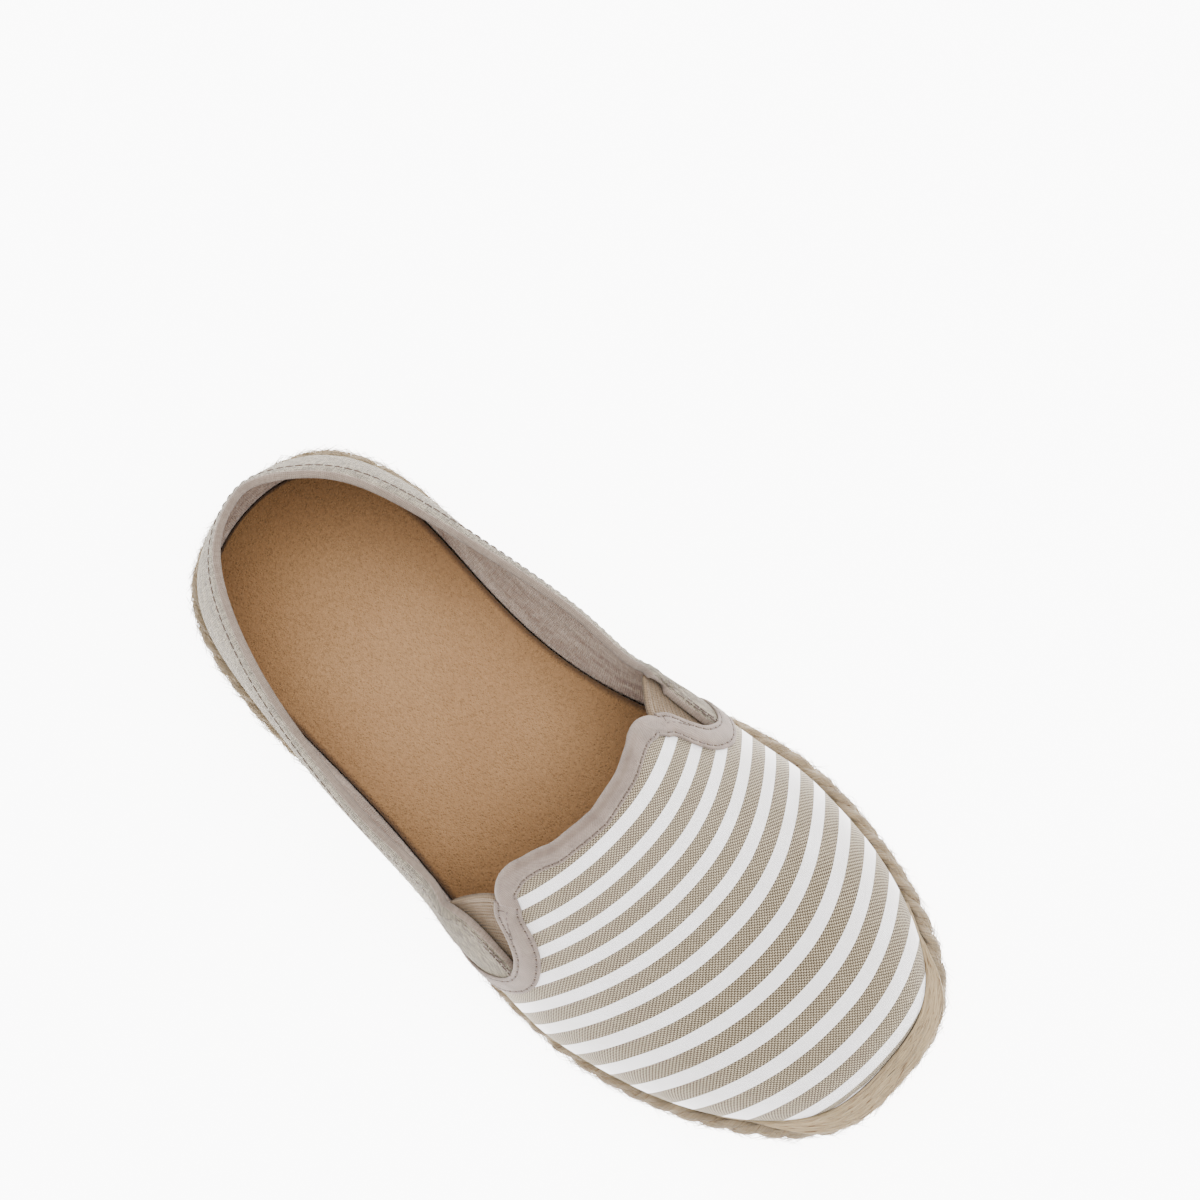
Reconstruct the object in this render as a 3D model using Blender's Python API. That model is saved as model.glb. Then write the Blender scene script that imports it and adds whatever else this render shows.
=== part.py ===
"""A child's right espadrille: a jute sole on rubber, a hollow cloth upper, and elastic gores at the throat.

X runs from the heel to the toe, Y to the wearer's left (the arch side), and Z up from the floor.
"""

import math

import bmesh
import bpy
import numpy as np

# Driving sizes, in metres
SOLE_LENGTH = 0.1670
BALL_WIDTH = 0.0720
HEEL_HEIGHT = 0.0380
INSTEP_HEIGHT = 0.0420
HEEL_STACK = 0.0125
BALL_STACK = 0.0112
TOE_SPRING = 0.0062
ARCH_RISE = 0.0008
OUTSOLE_THICK = 0.0030
OUTSOLE_BEVEL = 0.0006
OUTSOLE_SETBACK = 0.0010
INSOLE_THICK = 0.0016
INSOLE_BEVEL = 0.0003
INSOLE_CLEAR = 0.0006
WALL = 0.0013
ROPE_RADIUS = 0.0014
ROPE_DROP = 0.0002
ROPE_ROW_DEPTH = 0.0009
TOE_BAND_WIDTH = 0.0014
TOE_BAND_THICK = 0.0010
THROAT_BINDING_WIDTH = 0.0045
GORE_BINDING_WIDTH = 0.0052
BINDING_THICK = 0.0006
HEM_WIDTH = 0.0040
HEM_STEP = 0.0004
GORE_THICK = 0.0009
GORE_CLEAR = 0.0005
VAMP_TUCK = 0.0050
GAP = 0.0003

# Where the sole's forms start and end, as shares of its length
ARCH_SPAN = (0.30, 0.58)
STACK_SPAN = (0.30, 0.65)
TOE_SPRING_START = 0.74
TOE_SPRING_CURVE = 1.7
ROPE_ROWS = 2

# The sole's edge, seen from above, a row for each section round the shoe.
# along is a share of SOLE_LENGTH from the heel, across a share of BALL_WIDTH towards the arch side.
SOLE_EDGE = (
    # section, along, across
    ("heel", 0.000, 0.025),
    ("outer heel corner", 0.019, -0.172),
    ("outer heel", 0.077, -0.297),
    ("outer heel front", 0.173, -0.354),
    ("outer waist", 0.278, -0.375),
    ("outer middle", 0.382, -0.400),
    ("outer collar end", 0.486, -0.442),
    ("outer ball back", 0.592, -0.489),
    ("outer ball", 0.697, -0.499),
    ("outer ball front", 0.796, -0.458),
    ("small toe", 0.883, -0.375),
    ("small toe front", 0.953, -0.261),
    ("outer tip", 0.992, -0.125),
    ("tip", 1.000, 0.032),
    ("inner tip", 0.993, 0.189),
    ("big toe front", 0.956, 0.319),
    ("big toe", 0.886, 0.415),
    ("inner ball front", 0.799, 0.475),
    ("inner ball", 0.697, 0.500),
    ("inner ball back", 0.592, 0.456),
    ("inner collar end", 0.486, 0.376),
    ("inner middle", 0.382, 0.338),
    ("inner waist", 0.278, 0.350),
    ("inner heel front", 0.173, 0.375),
    ("inner heel", 0.077, 0.340),
    ("inner heel corner", 0.019, 0.217),
)

# The upper's top line over each section, and how far its wall swells low down and high up.
# up is a share of the height named under tall, above the sole; low and high are shares of BALL_WIDTH.
TOP_LINE = (
    # along, across, up, tall, low, high
    (0.017, 0.049, 1.000, "heel", 0.022, 0.010),
    (0.035, -0.067, 0.985, "heel", 0.020, 0.010),
    (0.091, -0.175, 0.940, "heel", 0.022, 0.026),
    (0.180, -0.265, 0.876, "heel", 0.026, 0.033),
    (0.281, -0.324, 0.805, "heel", 0.040, 0.048),
    (0.378, -0.357, 0.766, "heel", 0.046, 0.054),
    (0.456, -0.364, 0.763, "heel", 0.046, 0.062),
    (0.487, -0.362, 0.775, "heel", 0.040, 0.056),
    (0.509, -0.160, 0.955, "instep", 0.017, 0.020),
    (0.522, -0.083, 0.985, "instep", 0.010, 0.010),
    (0.527, -0.028, 0.995, "instep", 0.004, 0.010),
    (0.530, 0.011, 1.000, "instep", 0.000, 0.010),
    (0.531, 0.032, 1.000, "instep", 0.000, 0.010),
    (0.532, 0.043, 1.000, "instep", 0.000, 0.010),
    (0.532, 0.055, 1.000, "instep", 0.000, 0.010),
    (0.531, 0.074, 1.000, "instep", 0.000, 0.010),
    (0.529, 0.111, 0.995, "instep", 0.004, 0.010),
    (0.525, 0.167, 0.985, "instep", 0.014, 0.010),
    (0.513, 0.240, 0.955, "instep", 0.026, 0.030),
    (0.487, 0.396, 0.775, "heel", 0.058, 0.062),
    (0.456, 0.406, 0.763, "heel", 0.038, 0.064),
    (0.378, 0.401, 0.766, "heel", 0.031, 0.064),
    (0.275, 0.374, 0.805, "heel", 0.039, 0.058),
    (0.169, 0.331, 0.876, "heel", 0.047, 0.055),
    (0.083, 0.264, 0.940, "heel", 0.031, 0.033),
    (0.028, 0.142, 0.985, "heel", 0.022, 0.014),
)

# The vamp's ridge line, from the throat to the toe: rise is a share of INSTEP_HEIGHT above the sole.
VAMP_RIDGE = (
    # along, rise
    (0.48, 1.12),
    (0.57, 0.92),
    (0.64, 0.73),
    (0.71, 0.571),
    (0.78, 0.462),
    (0.85, 0.408),
    (0.92, 0.345),
    (1.00, 0.300),
)
VAMP_FULLNESS = 2.25
TOE_FULLNESS = 2.5
TOE_ROUNDING_START = 0.74
RIDGE_ACROSS = 0.039

# Places round the shoe count the sole's sections, from the heel by the outer side to the tip and back.
ROUND = len(SOLE_EDGE)
TIP = ROUND // 2
TUCK_SHARE = 0.15
TUCK_REACH = 6.0
VAMP_START = {"outer": 6.4, "inner": 6.1}
VAMP_BLEND = 1.2
TOE_BAND_REACH = 3.2
TOE_BAND_FADE = 1.25
HEM_START = 5.5
HEM_FADE = 0.3
HEM_MARGIN = 0.02
HEM_RAMP = 0.003
HEM_EDGE_SHARE = 0.6
BAND_BEVEL = 0.03

# The quarters' control rows: shares of the way from foot to collar, level and upward.
LOW_ROW = (0.10, 0.32)
HIGH_ROW = (0.67, 0.72)

# How finely the solids are cut
SOLE_STEPS = 3
ROPE_ROW_STEPS = 4
BAND_STEPS = 2
THROAT_STEPS = 3
GORE_STEPS = 5
TOE_BAND_SECTIONS = 33
LINE_SAMPLES = 161
LEVEL_ROWS = (0.0, 0.06, 0.15, 0.27, 0.42, 0.58)
SHARP_ANGLE = math.radians(40)


def closed_spline(values):
    """A smooth closed curve through a table's rows, as a function of the place round the shoe."""
    count = len(values)
    matrix = np.zeros((count, count))
    for row in range(count):
        matrix[row, row - 1] = 1.0
        matrix[row, row] = 4.0
        matrix[row, (row + 1) % count] = 1.0
    weights = np.linalg.solve(matrix / 6.0, np.asarray(values, float))

    def at(place):
        place = np.asarray(place, float)
        first = np.floor(place).astype(int)
        f = (place - first)[..., None]
        blend = ((1 - f) ** 3, 3 * f**3 - 6 * f**2 + 4, -3 * f**3 + 3 * f**2 + 3 * f + 1, f**3)
        total = 0.0
        for shift, share in enumerate(blend):
            total = total + share * weights[(first + shift - 1) % count]
        return total / 6.0

    return at


def smooth_step(value):
    value = np.clip(value, 0.0, 1.0)
    return value * value * (3.0 - 2.0 * value)


def smooth_table(rows, at):
    """A smooth curve through the rows of a two-column table."""
    knots, values = np.asarray(rows, float).T
    slopes = np.gradient(values, knots)
    at = np.clip(at, knots[0], knots[-1])
    span = np.clip(np.searchsorted(knots, at, side="right") - 1, 0, len(knots) - 2)
    width = knots[span + 1] - knots[span]
    f = (at - knots[span]) / width
    start = (1 + 2 * f) * (1 - f) ** 2 * values[span] + f * (1 - f) ** 2 * width * slopes[span]
    end = f**2 * (3 - 2 * f) * values[span + 1] + f**2 * (f - 1) * width * slopes[span + 1]
    return start + end


edge_spline = closed_spline([row[1:] for row in SOLE_EDGE])
top_spline = closed_spline([row[:3] for row in TOP_LINE])
swell_spline = closed_spline([row[4:] for row in TOP_LINE])
TALL = {"heel": HEEL_HEIGHT, "instep": INSTEP_HEIGHT}
top_height = closed_spline([[HEEL_STACK + row[2] * TALL[row[3]]] for row in TOP_LINE])


def along_share(x):
    return x / SOLE_LENGTH + 0.5


def span_share(x, span):
    return (along_share(x) - span[0]) / (span[1] - span[0])


def plan(shares):
    return np.stack([(shares[..., 0] - 0.5) * SOLE_LENGTH, shares[..., 1] * BALL_WIDTH], -1)


def sole_edge(place):
    return plan(edge_spline(place))


def outward(place):
    """The direction square to the sole's edge, away from the shoe."""
    step = 0.02
    run = sole_edge(np.asarray(place) + step) - sole_edge(np.asarray(place) - step)
    run = run / np.linalg.norm(run, axis=-1, keepdims=True)
    return np.stack([run[..., 1], -run[..., 0]], -1)


def inset_edge(place, inset):
    return sole_edge(place) - outward(place) * np.asarray(inset)[..., None]


def toe_lift(x):
    past = (along_share(x) - TOE_SPRING_START) / (1.0 - TOE_SPRING_START)
    return TOE_SPRING * np.clip(past, 0.0, 1.0) ** TOE_SPRING_CURVE


def sole_bottom(x):
    """The tread: flat under heel and forefoot, with a low arch between and the spring of the toe."""
    arch = np.sin(np.pi * np.clip(span_share(x, ARCH_SPAN), 0.0, 1.0)) ** 2
    return ARCH_RISE * arch + toe_lift(x)


def sole_top(x):
    stack = HEEL_STACK + (BALL_STACK - HEEL_STACK) * smooth_step(span_share(x, STACK_SPAN))
    return stack + toe_lift(x)


def from_tip(place):
    return np.abs(np.mod(np.asarray(place, float), ROUND) - TIP)


def toe_band_share(place):
    return smooth_step(TOE_BAND_FADE * (1.0 - from_tip(place) / TOE_BAND_REACH))


ROPE_ROOM = 2 * ROPE_RADIUS + GAP


def foot_inset(place):
    return ROPE_ROOM + (TOE_BAND_WIDTH + GAP) * toe_band_share(place)


def foot_line(place):
    """Where the upper's outside meets the sole."""
    flat = inset_edge(place, foot_inset(place))
    return np.concatenate([flat, (sole_top(flat[..., 0]) + GAP)[..., None]], -1)


def top_line(place):
    flat = plan(top_spline(place)[..., :2])
    return np.concatenate([flat, top_height(place)], -1)


def swell_line(place):
    """The upper's widest line, a little above its foot."""
    return foot_line(place)[..., :2] + outward(place) * swell_spline(place)[..., :1] * BALL_WIDTH


OUTER_SWELL = swell_line(np.linspace(0, TIP, LINE_SAMPLES))
INNER_SWELL = swell_line(np.linspace(ROUND, TIP, LINE_SAMPLES))
FOOT_TIP = along_share(OUTER_SWELL[-1, 0])


def tuck_height(place):
    """How far above the sole the forefoot's sections are widest."""
    return VAMP_TUCK * smooth_step(from_tip(place) / TUCK_REACH)


def vamp_height(x, y, tuck):
    """The last's sections over the forefoot: each rounds from its widest line up to the ridge."""
    share = along_share(x)
    past = np.clip((share - TOE_ROUNDING_START) / (FOOT_TIP - TOE_ROUNDING_START), 0.0, 1.0)
    rounding = (1.0 - past**TOE_FULLNESS) ** (1.0 / TOE_FULLNESS)
    rise = INSTEP_HEIGHT * smooth_table(VAMP_RIDGE, share) * rounding
    ridge = RIDGE_ACROSS * BALL_WIDTH
    outer = ridge - np.interp(x, OUTER_SWELL[:, 0], OUTER_SWELL[:, 1])
    inner = np.interp(x, INNER_SWELL[:, 0], INNER_SWELL[:, 1]) - ridge
    half = np.maximum(np.where(y < ridge, outer, inner), GAP)
    reach = np.clip(np.abs(y - ridge) / half, 0.0, 1.0)
    arch = (1.0 - reach**VAMP_FULLNESS) ** (1.0 / VAMP_FULLNESS)
    return sole_top(x) + GAP + tuck + (rise - tuck) * arch


def level_and_up(row):
    return np.array([row[0], row[0], row[1]])


def wall_point(place, up):
    """The quarters: each section swells from the sole and leans in to the collar."""
    foot, top = foot_line(place), top_line(place)
    out = np.concatenate([outward(place), np.zeros(np.shape(place) + (1,))], -1) * BALL_WIDTH
    swell = swell_spline(place)
    low = foot + (top - foot) * level_and_up(LOW_ROW) + out * swell[..., :1]
    high = foot + (top - foot) * level_and_up(HIGH_ROW) + out * swell[..., 1:]
    up = up[..., None]
    down = 1.0 - up
    return down**3 * foot + 3 * down**2 * up * low + 3 * down * up**2 * high + up**3 * top


def vamp_point(place, up):
    foot, top, wide = foot_line(place), top_line(place)[..., :2], swell_line(place)
    tuck = tuck_height(place)
    low = np.clip(up / TUCK_SHARE, 0.0, 1.0)
    high = np.clip((up - TUCK_SHARE) / (1.0 - TUCK_SHARE), 0.0, None)
    flat = foot[..., :2] + (wide - foot[..., :2]) * np.sin(low * math.pi / 2)[..., None]
    flat = flat + (top - wide) * (1.0 - np.cos(high * math.pi / 2))[..., None]
    dome = vamp_height(flat[..., 0], flat[..., 1], tuck)
    height = np.where(up < TUCK_SHARE, foot[..., 2] + tuck * low, dome)
    return np.concatenate([flat, height[..., None]], -1)


def upper_outside(place, up):
    place, up = np.broadcast_arrays(np.asarray(place, float), np.asarray(up, float))
    start = np.where(np.mod(place, ROUND) > TIP, VAMP_START["inner"], VAMP_START["outer"])
    vamp = smooth_step((start - from_tip(place)) / VAMP_BLEND)[..., None]
    return wall_point(place, up) * (1 - vamp) + vamp_point(place, up) * vamp


def upper_normal(place, up):
    place, up = np.broadcast_arrays(np.asarray(place, float), np.asarray(up, float))
    step = 0.01
    run = upper_outside(place + step, up) - upper_outside(place - step, up)
    rise = upper_outside(place, up + step) - upper_outside(place, np.maximum(up - step, 0.0))
    normal = np.cross(run, rise)
    normal[..., 2] = np.where(up <= 0.0, 0.0, normal[..., 2])
    return normal / np.linalg.norm(normal, axis=-1, keepdims=True)


def upper_point(place, up, offset):
    return upper_outside(place, up) + upper_normal(place, up) * np.asarray(offset)[..., None]


# The free edge of the upper from each collar end round the notch to the ear of the vamp.
NOTCH_EDGE = (
    # from_tip, up
    (6.35, 1.000),
    (6.20, 0.985),
    (6.05, 0.950),
    (5.89, 0.880),
    (5.74, 0.785),
    (5.605, 0.695),
    (5.50, 0.640),
    (5.44, 0.625),
    (5.40, 0.660),
    (5.393, 0.720),
    (5.387, 0.780),
    (5.381, 0.840),
    (5.375, 0.900),
    (5.36, 0.945),
    (5.30, 0.975),
    (5.18, 0.993),
    (5.02, 1.000),
)

# The band round each notch, from the ear to the sole: its edge by the gore and its stitched edge.
GORE_BAND = (
    # edge_from_tip, edge_up, seam_from_tip, seam_up
    (5.46, 0.925, 5.235, 0.888),
    (5.49, 0.890, 5.200, 0.862),
    (5.48, 0.850, 5.160, 0.832),
    (5.45, 0.805, 5.120, 0.800),
    (5.43, 0.755, 5.090, 0.765),
    (5.43, 0.710, 5.080, 0.725),
    (5.47, 0.665, 5.120, 0.675),
    (5.53, 0.620, 5.200, 0.625),
    (5.63, 0.570, 5.330, 0.575),
    (5.79, 0.515, 5.500, 0.500),
    (5.97, 0.460, 5.690, 0.405),
    (6.22, 0.395, 5.930, 0.310),
    (6.50, 0.310, 6.200, 0.215),
    (6.75, 0.190, 6.430, 0.125),
    (6.92, 0.060, 6.600, 0.050),
)

# The band over the throat's edge, from an ear to the middle.
THROAT_BAND = (
    # edge_from_tip, edge_up, seam_from_tip, seam_up
    (5.367, 0.925, 5.205, 0.893),
    (5.36, 0.945, 5.190, 0.904),
    (5.30, 0.975, 5.160, 0.917),
    (5.18, 0.993, 5.090, 0.929),
    (5.02, 1.000, 4.970, 0.938),
    (4.60, 1.000, 4.600, 0.949),
    (4.00, 1.000, 4.000, 0.959),
    (3.00, 1.000, 3.000, 0.965),
    (1.50, 1.000, 1.500, 0.969),
    (0.00, 1.000, 0.000, 0.970),
)

# The elastic behind each notch: its lower and upper edge.
GORE_CLOTH = (
    # from_tip, low_up, high_up
    (6.42, 0.60, 0.930),
    (6.26, 0.58, 0.965),
    (6.10, 0.56, 0.980),
    (5.90, 0.54, 0.975),
    (5.70, 0.53, 0.962),
    (5.52, 0.52, 0.940),
    (5.42, 0.51, 0.915),
    (5.30, 0.50, 0.880),
    (5.18, 0.50, 0.845),
)


def table_points(rows, per_row):
    """A table's rows with smooth points between them."""
    rows = np.asarray(rows, float)
    steps = np.linspace(0, len(rows) - 1, (len(rows) - 1) * per_row + 1)
    index = np.arange(len(rows))
    return np.stack([smooth_table(np.stack([index, column], 1), steps) for column in rows.T], 1)


def material(name, colour, roughness):
    made = bpy.data.materials.new(name)
    made.use_nodes = True
    shader = made.node_tree.nodes["Principled BSDF"]
    shader.inputs["Base Color"].default_value = (*colour, 1.0)
    shader.inputs["Roughness"].default_value = roughness
    shader.inputs["Metallic"].default_value = 0.0
    return made


def add_mesh(name, points, faces, finish):
    """A closed mesh object with its faces turned outward and its round sides smooth."""
    mesh = bpy.data.meshes.new(name)
    mesh.from_pydata([tuple(point) for point in points], [], faces)
    work = bmesh.new()
    work.from_mesh(mesh)
    bmesh.ops.recalc_face_normals(work, faces=work.faces)
    work.to_mesh(mesh)
    work.free()
    mesh.shade_smooth()
    mesh.set_sharp_from_angle(angle=SHARP_ANGLE)
    mesh.materials.append(finish)
    made = bpy.data.objects.new(name, mesh)
    shoe.objects.link(made)
    return made


def ring_faces(rings, count, closed):
    """Quads between neighbouring rings of count points each; closed joins the last ring to the first."""
    faces = []
    for ring in range(rings if closed else rings - 1):
        here, there = ring * count, (ring + 1) % rings * count
        for point in range(count):
            after = (point + 1) % count
            faces.append((here + point, here + after, there + after, there + point))
    return faces


def slab(name, profile, finish):
    """A layer of the sole: rings that follow its edge, closed by strips from side to side."""
    places = np.arange(0, ROUND, 1 / SOLE_STEPS)
    count = len(places)
    rings = []
    for inset, height in profile:
        flat = inset_edge(places, np.broadcast_to(inset(places), places.shape))
        rings.append(np.concatenate([flat, height(flat[:, 0])[:, None]], 1))
    faces = ring_faces(len(rings), count, False)
    for first in (0, (len(rings) - 1) * count):
        for step in range(count // 2):
            corners = (step, step + 1, (count - step - 1) % count, (count - step) % count)
            faces.append(tuple(first + corner for corner in dict.fromkeys(corners)))
    return add_mesh(name, np.concatenate(rings), faces, finish)


def sweep(name, sections, finish):
    """A strip from its sections, with a flat end at each."""
    count = len(sections[0])
    faces = ring_faces(len(sections), count, False)
    faces.append(tuple(range(count)))
    faces.append(tuple((len(sections) - 1) * count + point for point in range(count)))
    return add_mesh(name, np.concatenate(sections), faces, finish)


def level(inset):
    return lambda places: inset


def outsole_height(x):
    return sole_bottom(x) + OUTSOLE_THICK


def make_outsole():
    profile = (
        (level(OUTSOLE_SETBACK + OUTSOLE_BEVEL), sole_bottom),
        (level(OUTSOLE_SETBACK), lambda x: sole_bottom(x) + OUTSOLE_BEVEL),
        (level(OUTSOLE_SETBACK), outsole_height),
    )
    return slab("outsole", profile, material("rubber", (0.62, 0.52, 0.38), 0.75))


def make_midsole():
    """Jute rope rows wound one on another, with a ledge round the top for the edge rope."""
    profile = []

    def rib_height(share):
        def height(x):
            low = outsole_height(x) + GAP
            return low + (sole_top(x) - ROPE_DROP - ROPE_RADIUS - GAP - low) * share

        return height

    for row in range(ROPE_ROWS):
        for step in range(1 if row else 0, ROPE_ROW_STEPS + 1):
            share = step / ROPE_ROW_STEPS
            inset = ROPE_ROW_DEPTH * (1 - math.sin(math.pi * share))
            profile.append((level(inset), rib_height((row + share) / ROPE_ROWS)))
    profile.append((level(ROPE_ROOM), rib_height(1.0)))
    profile.append((level(ROPE_ROOM), sole_top))
    return slab("jute_midsole", profile, material("jute", (0.55, 0.42, 0.26), 0.9))


def make_edge_rope():
    places = np.arange(0, ROUND, 1 / SOLE_STEPS)
    flat = inset_edge(places, np.full(len(places), ROPE_RADIUS))
    curve = bpy.data.curves.new("edge_rope", "CURVE")
    curve.dimensions = "3D"
    curve.bevel_depth = ROPE_RADIUS
    curve.bevel_resolution = 2
    path = curve.splines.new("POLY")
    path.points.add(len(places) - 1)
    for point, (x, y) in zip(path.points, flat, strict=True):
        point.co = (x, y, sole_top(x) - ROPE_DROP, 1.0)
    path.use_cyclic_u = True
    curve.materials.append(material("jute rope", (0.60, 0.47, 0.31), 0.9))
    made = bpy.data.objects.new("edge_rope", curve)
    shoe.objects.link(made)
    return made


def make_toe_band():
    """The flat strip of loose jute between the rope and the upper round the toe."""
    sections = []
    for place in TIP + np.linspace(-TOE_BAND_REACH, TOE_BAND_REACH, TOE_BAND_SECTIONS):
        width = foot_inset(place) - ROPE_ROOM - 2 * GAP
        if width < GAP:
            continue
        corners = []
        for across, up in ((0, 0), (1, 0), (1, 0.8), (0.5, 1), (0, 0.8)):
            x, y = inset_edge(place, ROPE_ROOM + GAP / 2 + width * across)
            corners.append((x, y, sole_top(x) + GAP + TOE_BAND_THICK * up))
        sections.append(np.array(corners))
    return sweep("toe_band", sections, material("jute fibre", (0.58, 0.46, 0.30), 0.85))


def make_insole():
    def inset(extra):
        return lambda places: foot_inset(places) + WALL + INSOLE_CLEAR + extra

    profile = (
        (inset(0.0), lambda x: sole_top(x) + GAP),
        (inset(0.0), lambda x: sole_top(x) + GAP + INSOLE_THICK - INSOLE_BEVEL),
        (inset(INSOLE_BEVEL), lambda x: sole_top(x) + GAP + INSOLE_THICK),
    )
    return slab("insole", profile, material("insole", (0.50, 0.34, 0.20), 0.6))


def upper_columns():
    """Places round the shoe and the height of the free edge over each."""
    notch = np.array(NOTCH_EDGE)
    back, ear = NOTCH_EDGE[0][0], NOTCH_EDGE[-1][0]
    rear = np.linspace(back, ROUND - back, round((ROUND - 2 * back) * SOLE_STEPS))[1:-1]
    front = np.linspace(-ear, ear, round(2 * ear * SOLE_STEPS))[1:-1]
    inner = np.stack([TIP + notch[:, 0], notch[:, 1]], 1)[::-1]
    outer = np.stack([TIP + ROUND - notch[:, 0], notch[:, 1]], 1)
    rear_rows = np.stack([TIP + rear, np.ones(len(rear))], 1)
    front_rows = np.stack([TIP + ROUND + front, np.ones(len(front))], 1)
    rows = np.concatenate([inner, rear_rows, outer, front_rows])
    return rows[:, 0], rows[:, 1]


def hem_line(places, edge):
    """The height of the hem's stitched edge below the collar."""
    step = 0.02
    run = upper_outside(places, edge) - upper_outside(places, edge - step)
    speed = np.linalg.norm(run, axis=1) / step
    return np.maximum(edge - HEM_WIDTH / speed, LEVEL_ROWS[-1] + HEM_MARGIN)


def make_upper():
    """One hollow shell of cloth, with a turned hem along the collar and a notch at each side."""
    places, edge = upper_columns()
    hem = hem_line(places, edge)
    hemmed = HEM_STEP * smooth_step((from_tip(places) - HEM_START) / HEM_FADE)
    flat = np.zeros(len(places))
    outside = [(np.full(len(places), up), flat) for up in LEVEL_ROWS]
    for share in (0.25, 0.5, 0.75):
        outside.append((LEVEL_ROWS[-1] + (hem - LEVEL_ROWS[-1]) * share, flat))
    outside.append((hem - HEM_RAMP, flat))
    outside.append((hem + HEM_RAMP, hemmed))
    outside.append(((hem + edge) / 2, hemmed))
    outside.append((edge, hemmed * HEM_EDGE_SHARE))
    inside = [(edge, flat - WALL)]
    for share in (0.7, 0.35):
        inside.append((LEVEL_ROWS[-1] + (hem - LEVEL_ROWS[-1]) * share, flat - WALL))
    for up in LEVEL_ROWS[::-1]:
        inside.append((np.full(len(places), up), flat - WALL))
    rings = [upper_point(places, up, offset) for up, offset in outside + inside]
    faces = ring_faces(len(rings), len(places), True)
    return add_mesh("upper", np.concatenate(rings), faces, material("cloth", (0.58, 0.52, 0.45), 0.85))


def across_band(rows, width, share):
    """Points a share of the band's width in from its edge, towards its seam, as place and height."""
    edge, seam = rows[:, :2], rows[:, 2:]
    chord = upper_outside(*seam.T) - upper_outside(*edge.T)
    scale = width / np.linalg.norm(chord, axis=1, keepdims=True)
    return edge + (seam - edge) * scale * share


def make_gore_band(name, side):
    rows = table_points(GORE_BAND, BAND_STEPS)
    rows = rows * np.array([side, 1, side, 1]) + np.array([TIP, 0, TIP, 0])
    corners = []
    for share, offset in ((0, 0), (BAND_BEVEL, 1), (0.5, 1), (1 - BAND_BEVEL, 1), (1, 0), (0.5, 0)):
        spot = across_band(rows, GORE_BINDING_WIDTH, share)
        corners.append(upper_point(spot[:, 0], spot[:, 1], np.full(len(spot), GAP + BINDING_THICK * offset)))
    sections = list(np.stack(corners, 1))
    return sweep(name, sections, material(name, (0.44, 0.38, 0.34), 0.85))


def make_throat_band():
    half = table_points(THROAT_BAND, THROAT_STEPS)
    other = half[-2::-1]
    rows = np.concatenate([half * [-1, 1, -1, 1], other]) + np.array([TIP, 0, TIP, 0])
    place, up = rows[:, 0], rows[:, 1]
    edge = upper_outside(place, up)
    normal = upper_normal(place, up)
    inward = across_band(rows, THROAT_BINDING_WIDTH, 0.15)
    over = edge - upper_outside(inward[:, 0], inward[:, 1])
    over = over - normal * np.sum(over * normal, axis=1, keepdims=True)
    over = over / np.linalg.norm(over, axis=1, keepdims=True)
    near, far = GAP, GAP + BINDING_THICK

    def face(share, offset):
        spot = across_band(rows, THROAT_BINDING_WIDTH, share)
        return upper_point(spot[:, 0], spot[:, 1], np.full(len(spot), offset))

    corners = (
        face(1.0, near),
        face(1 - BAND_BEVEL, far),
        face(0.5, far),
        edge + normal * far,
        edge + over * far + normal * (-WALL / 2),
        edge - normal * (WALL + far),
        face(0.45, -WALL - far),
        face(0.45, -WALL - near),
        edge - normal * (WALL + near),
        edge + over * near - normal * (WALL / 2),
        edge + normal * near,
        face(0.5, near),
    )
    sections = list(np.stack(corners, 1))
    return sweep("throat_binding", sections, material("binding", (0.44, 0.38, 0.34), 0.85))


def make_gore(name, side):
    rows = np.array(GORE_CLOTH)
    place = TIP + side * rows[:, 0]
    corners = []
    for offset in (-WALL - GORE_CLEAR, -WALL - GORE_CLEAR - GORE_THICK):
        line = []
        for step in range(GORE_STEPS + 1):
            up = rows[:, 1] + (rows[:, 2] - rows[:, 1]) * step / GORE_STEPS
            line.append(upper_point(place, up, np.full(len(place), offset)))
        corners.extend(line if not corners else line[::-1])
    sections = list(np.stack(corners, 1))
    return sweep(name, sections, material(name, (0.36, 0.30, 0.23), 0.9))


for old in list(bpy.data.objects):
    bpy.data.objects.remove(old, do_unlink=True)
shoe = bpy.data.collections.new("espadrille")
bpy.context.scene.collection.children.link(shoe)

make_outsole()
make_midsole()
make_edge_rope()
make_toe_band()
make_insole()
make_upper()
make_throat_band()
for side_name, side_sign in (("outer", -1), ("inner", 1)):
    make_gore_band(f"gore_binding_{side_name}", side_sign)
    make_gore(f"gore_{side_name}", side_sign)
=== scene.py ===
# %% [markdown]
# # Dressing a child's espadrille
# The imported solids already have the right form: a jute sole, a hollow cloth upper and two elastic gores.
# This lesson loads them as a fixed frame and gives each piece its finish: striped canvas, linen,
# twill tape, webbing, twisted jute and a tan insole. X runs to the toe, Y to the arch side, Z up.

# %% Load the frame
import math

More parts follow.
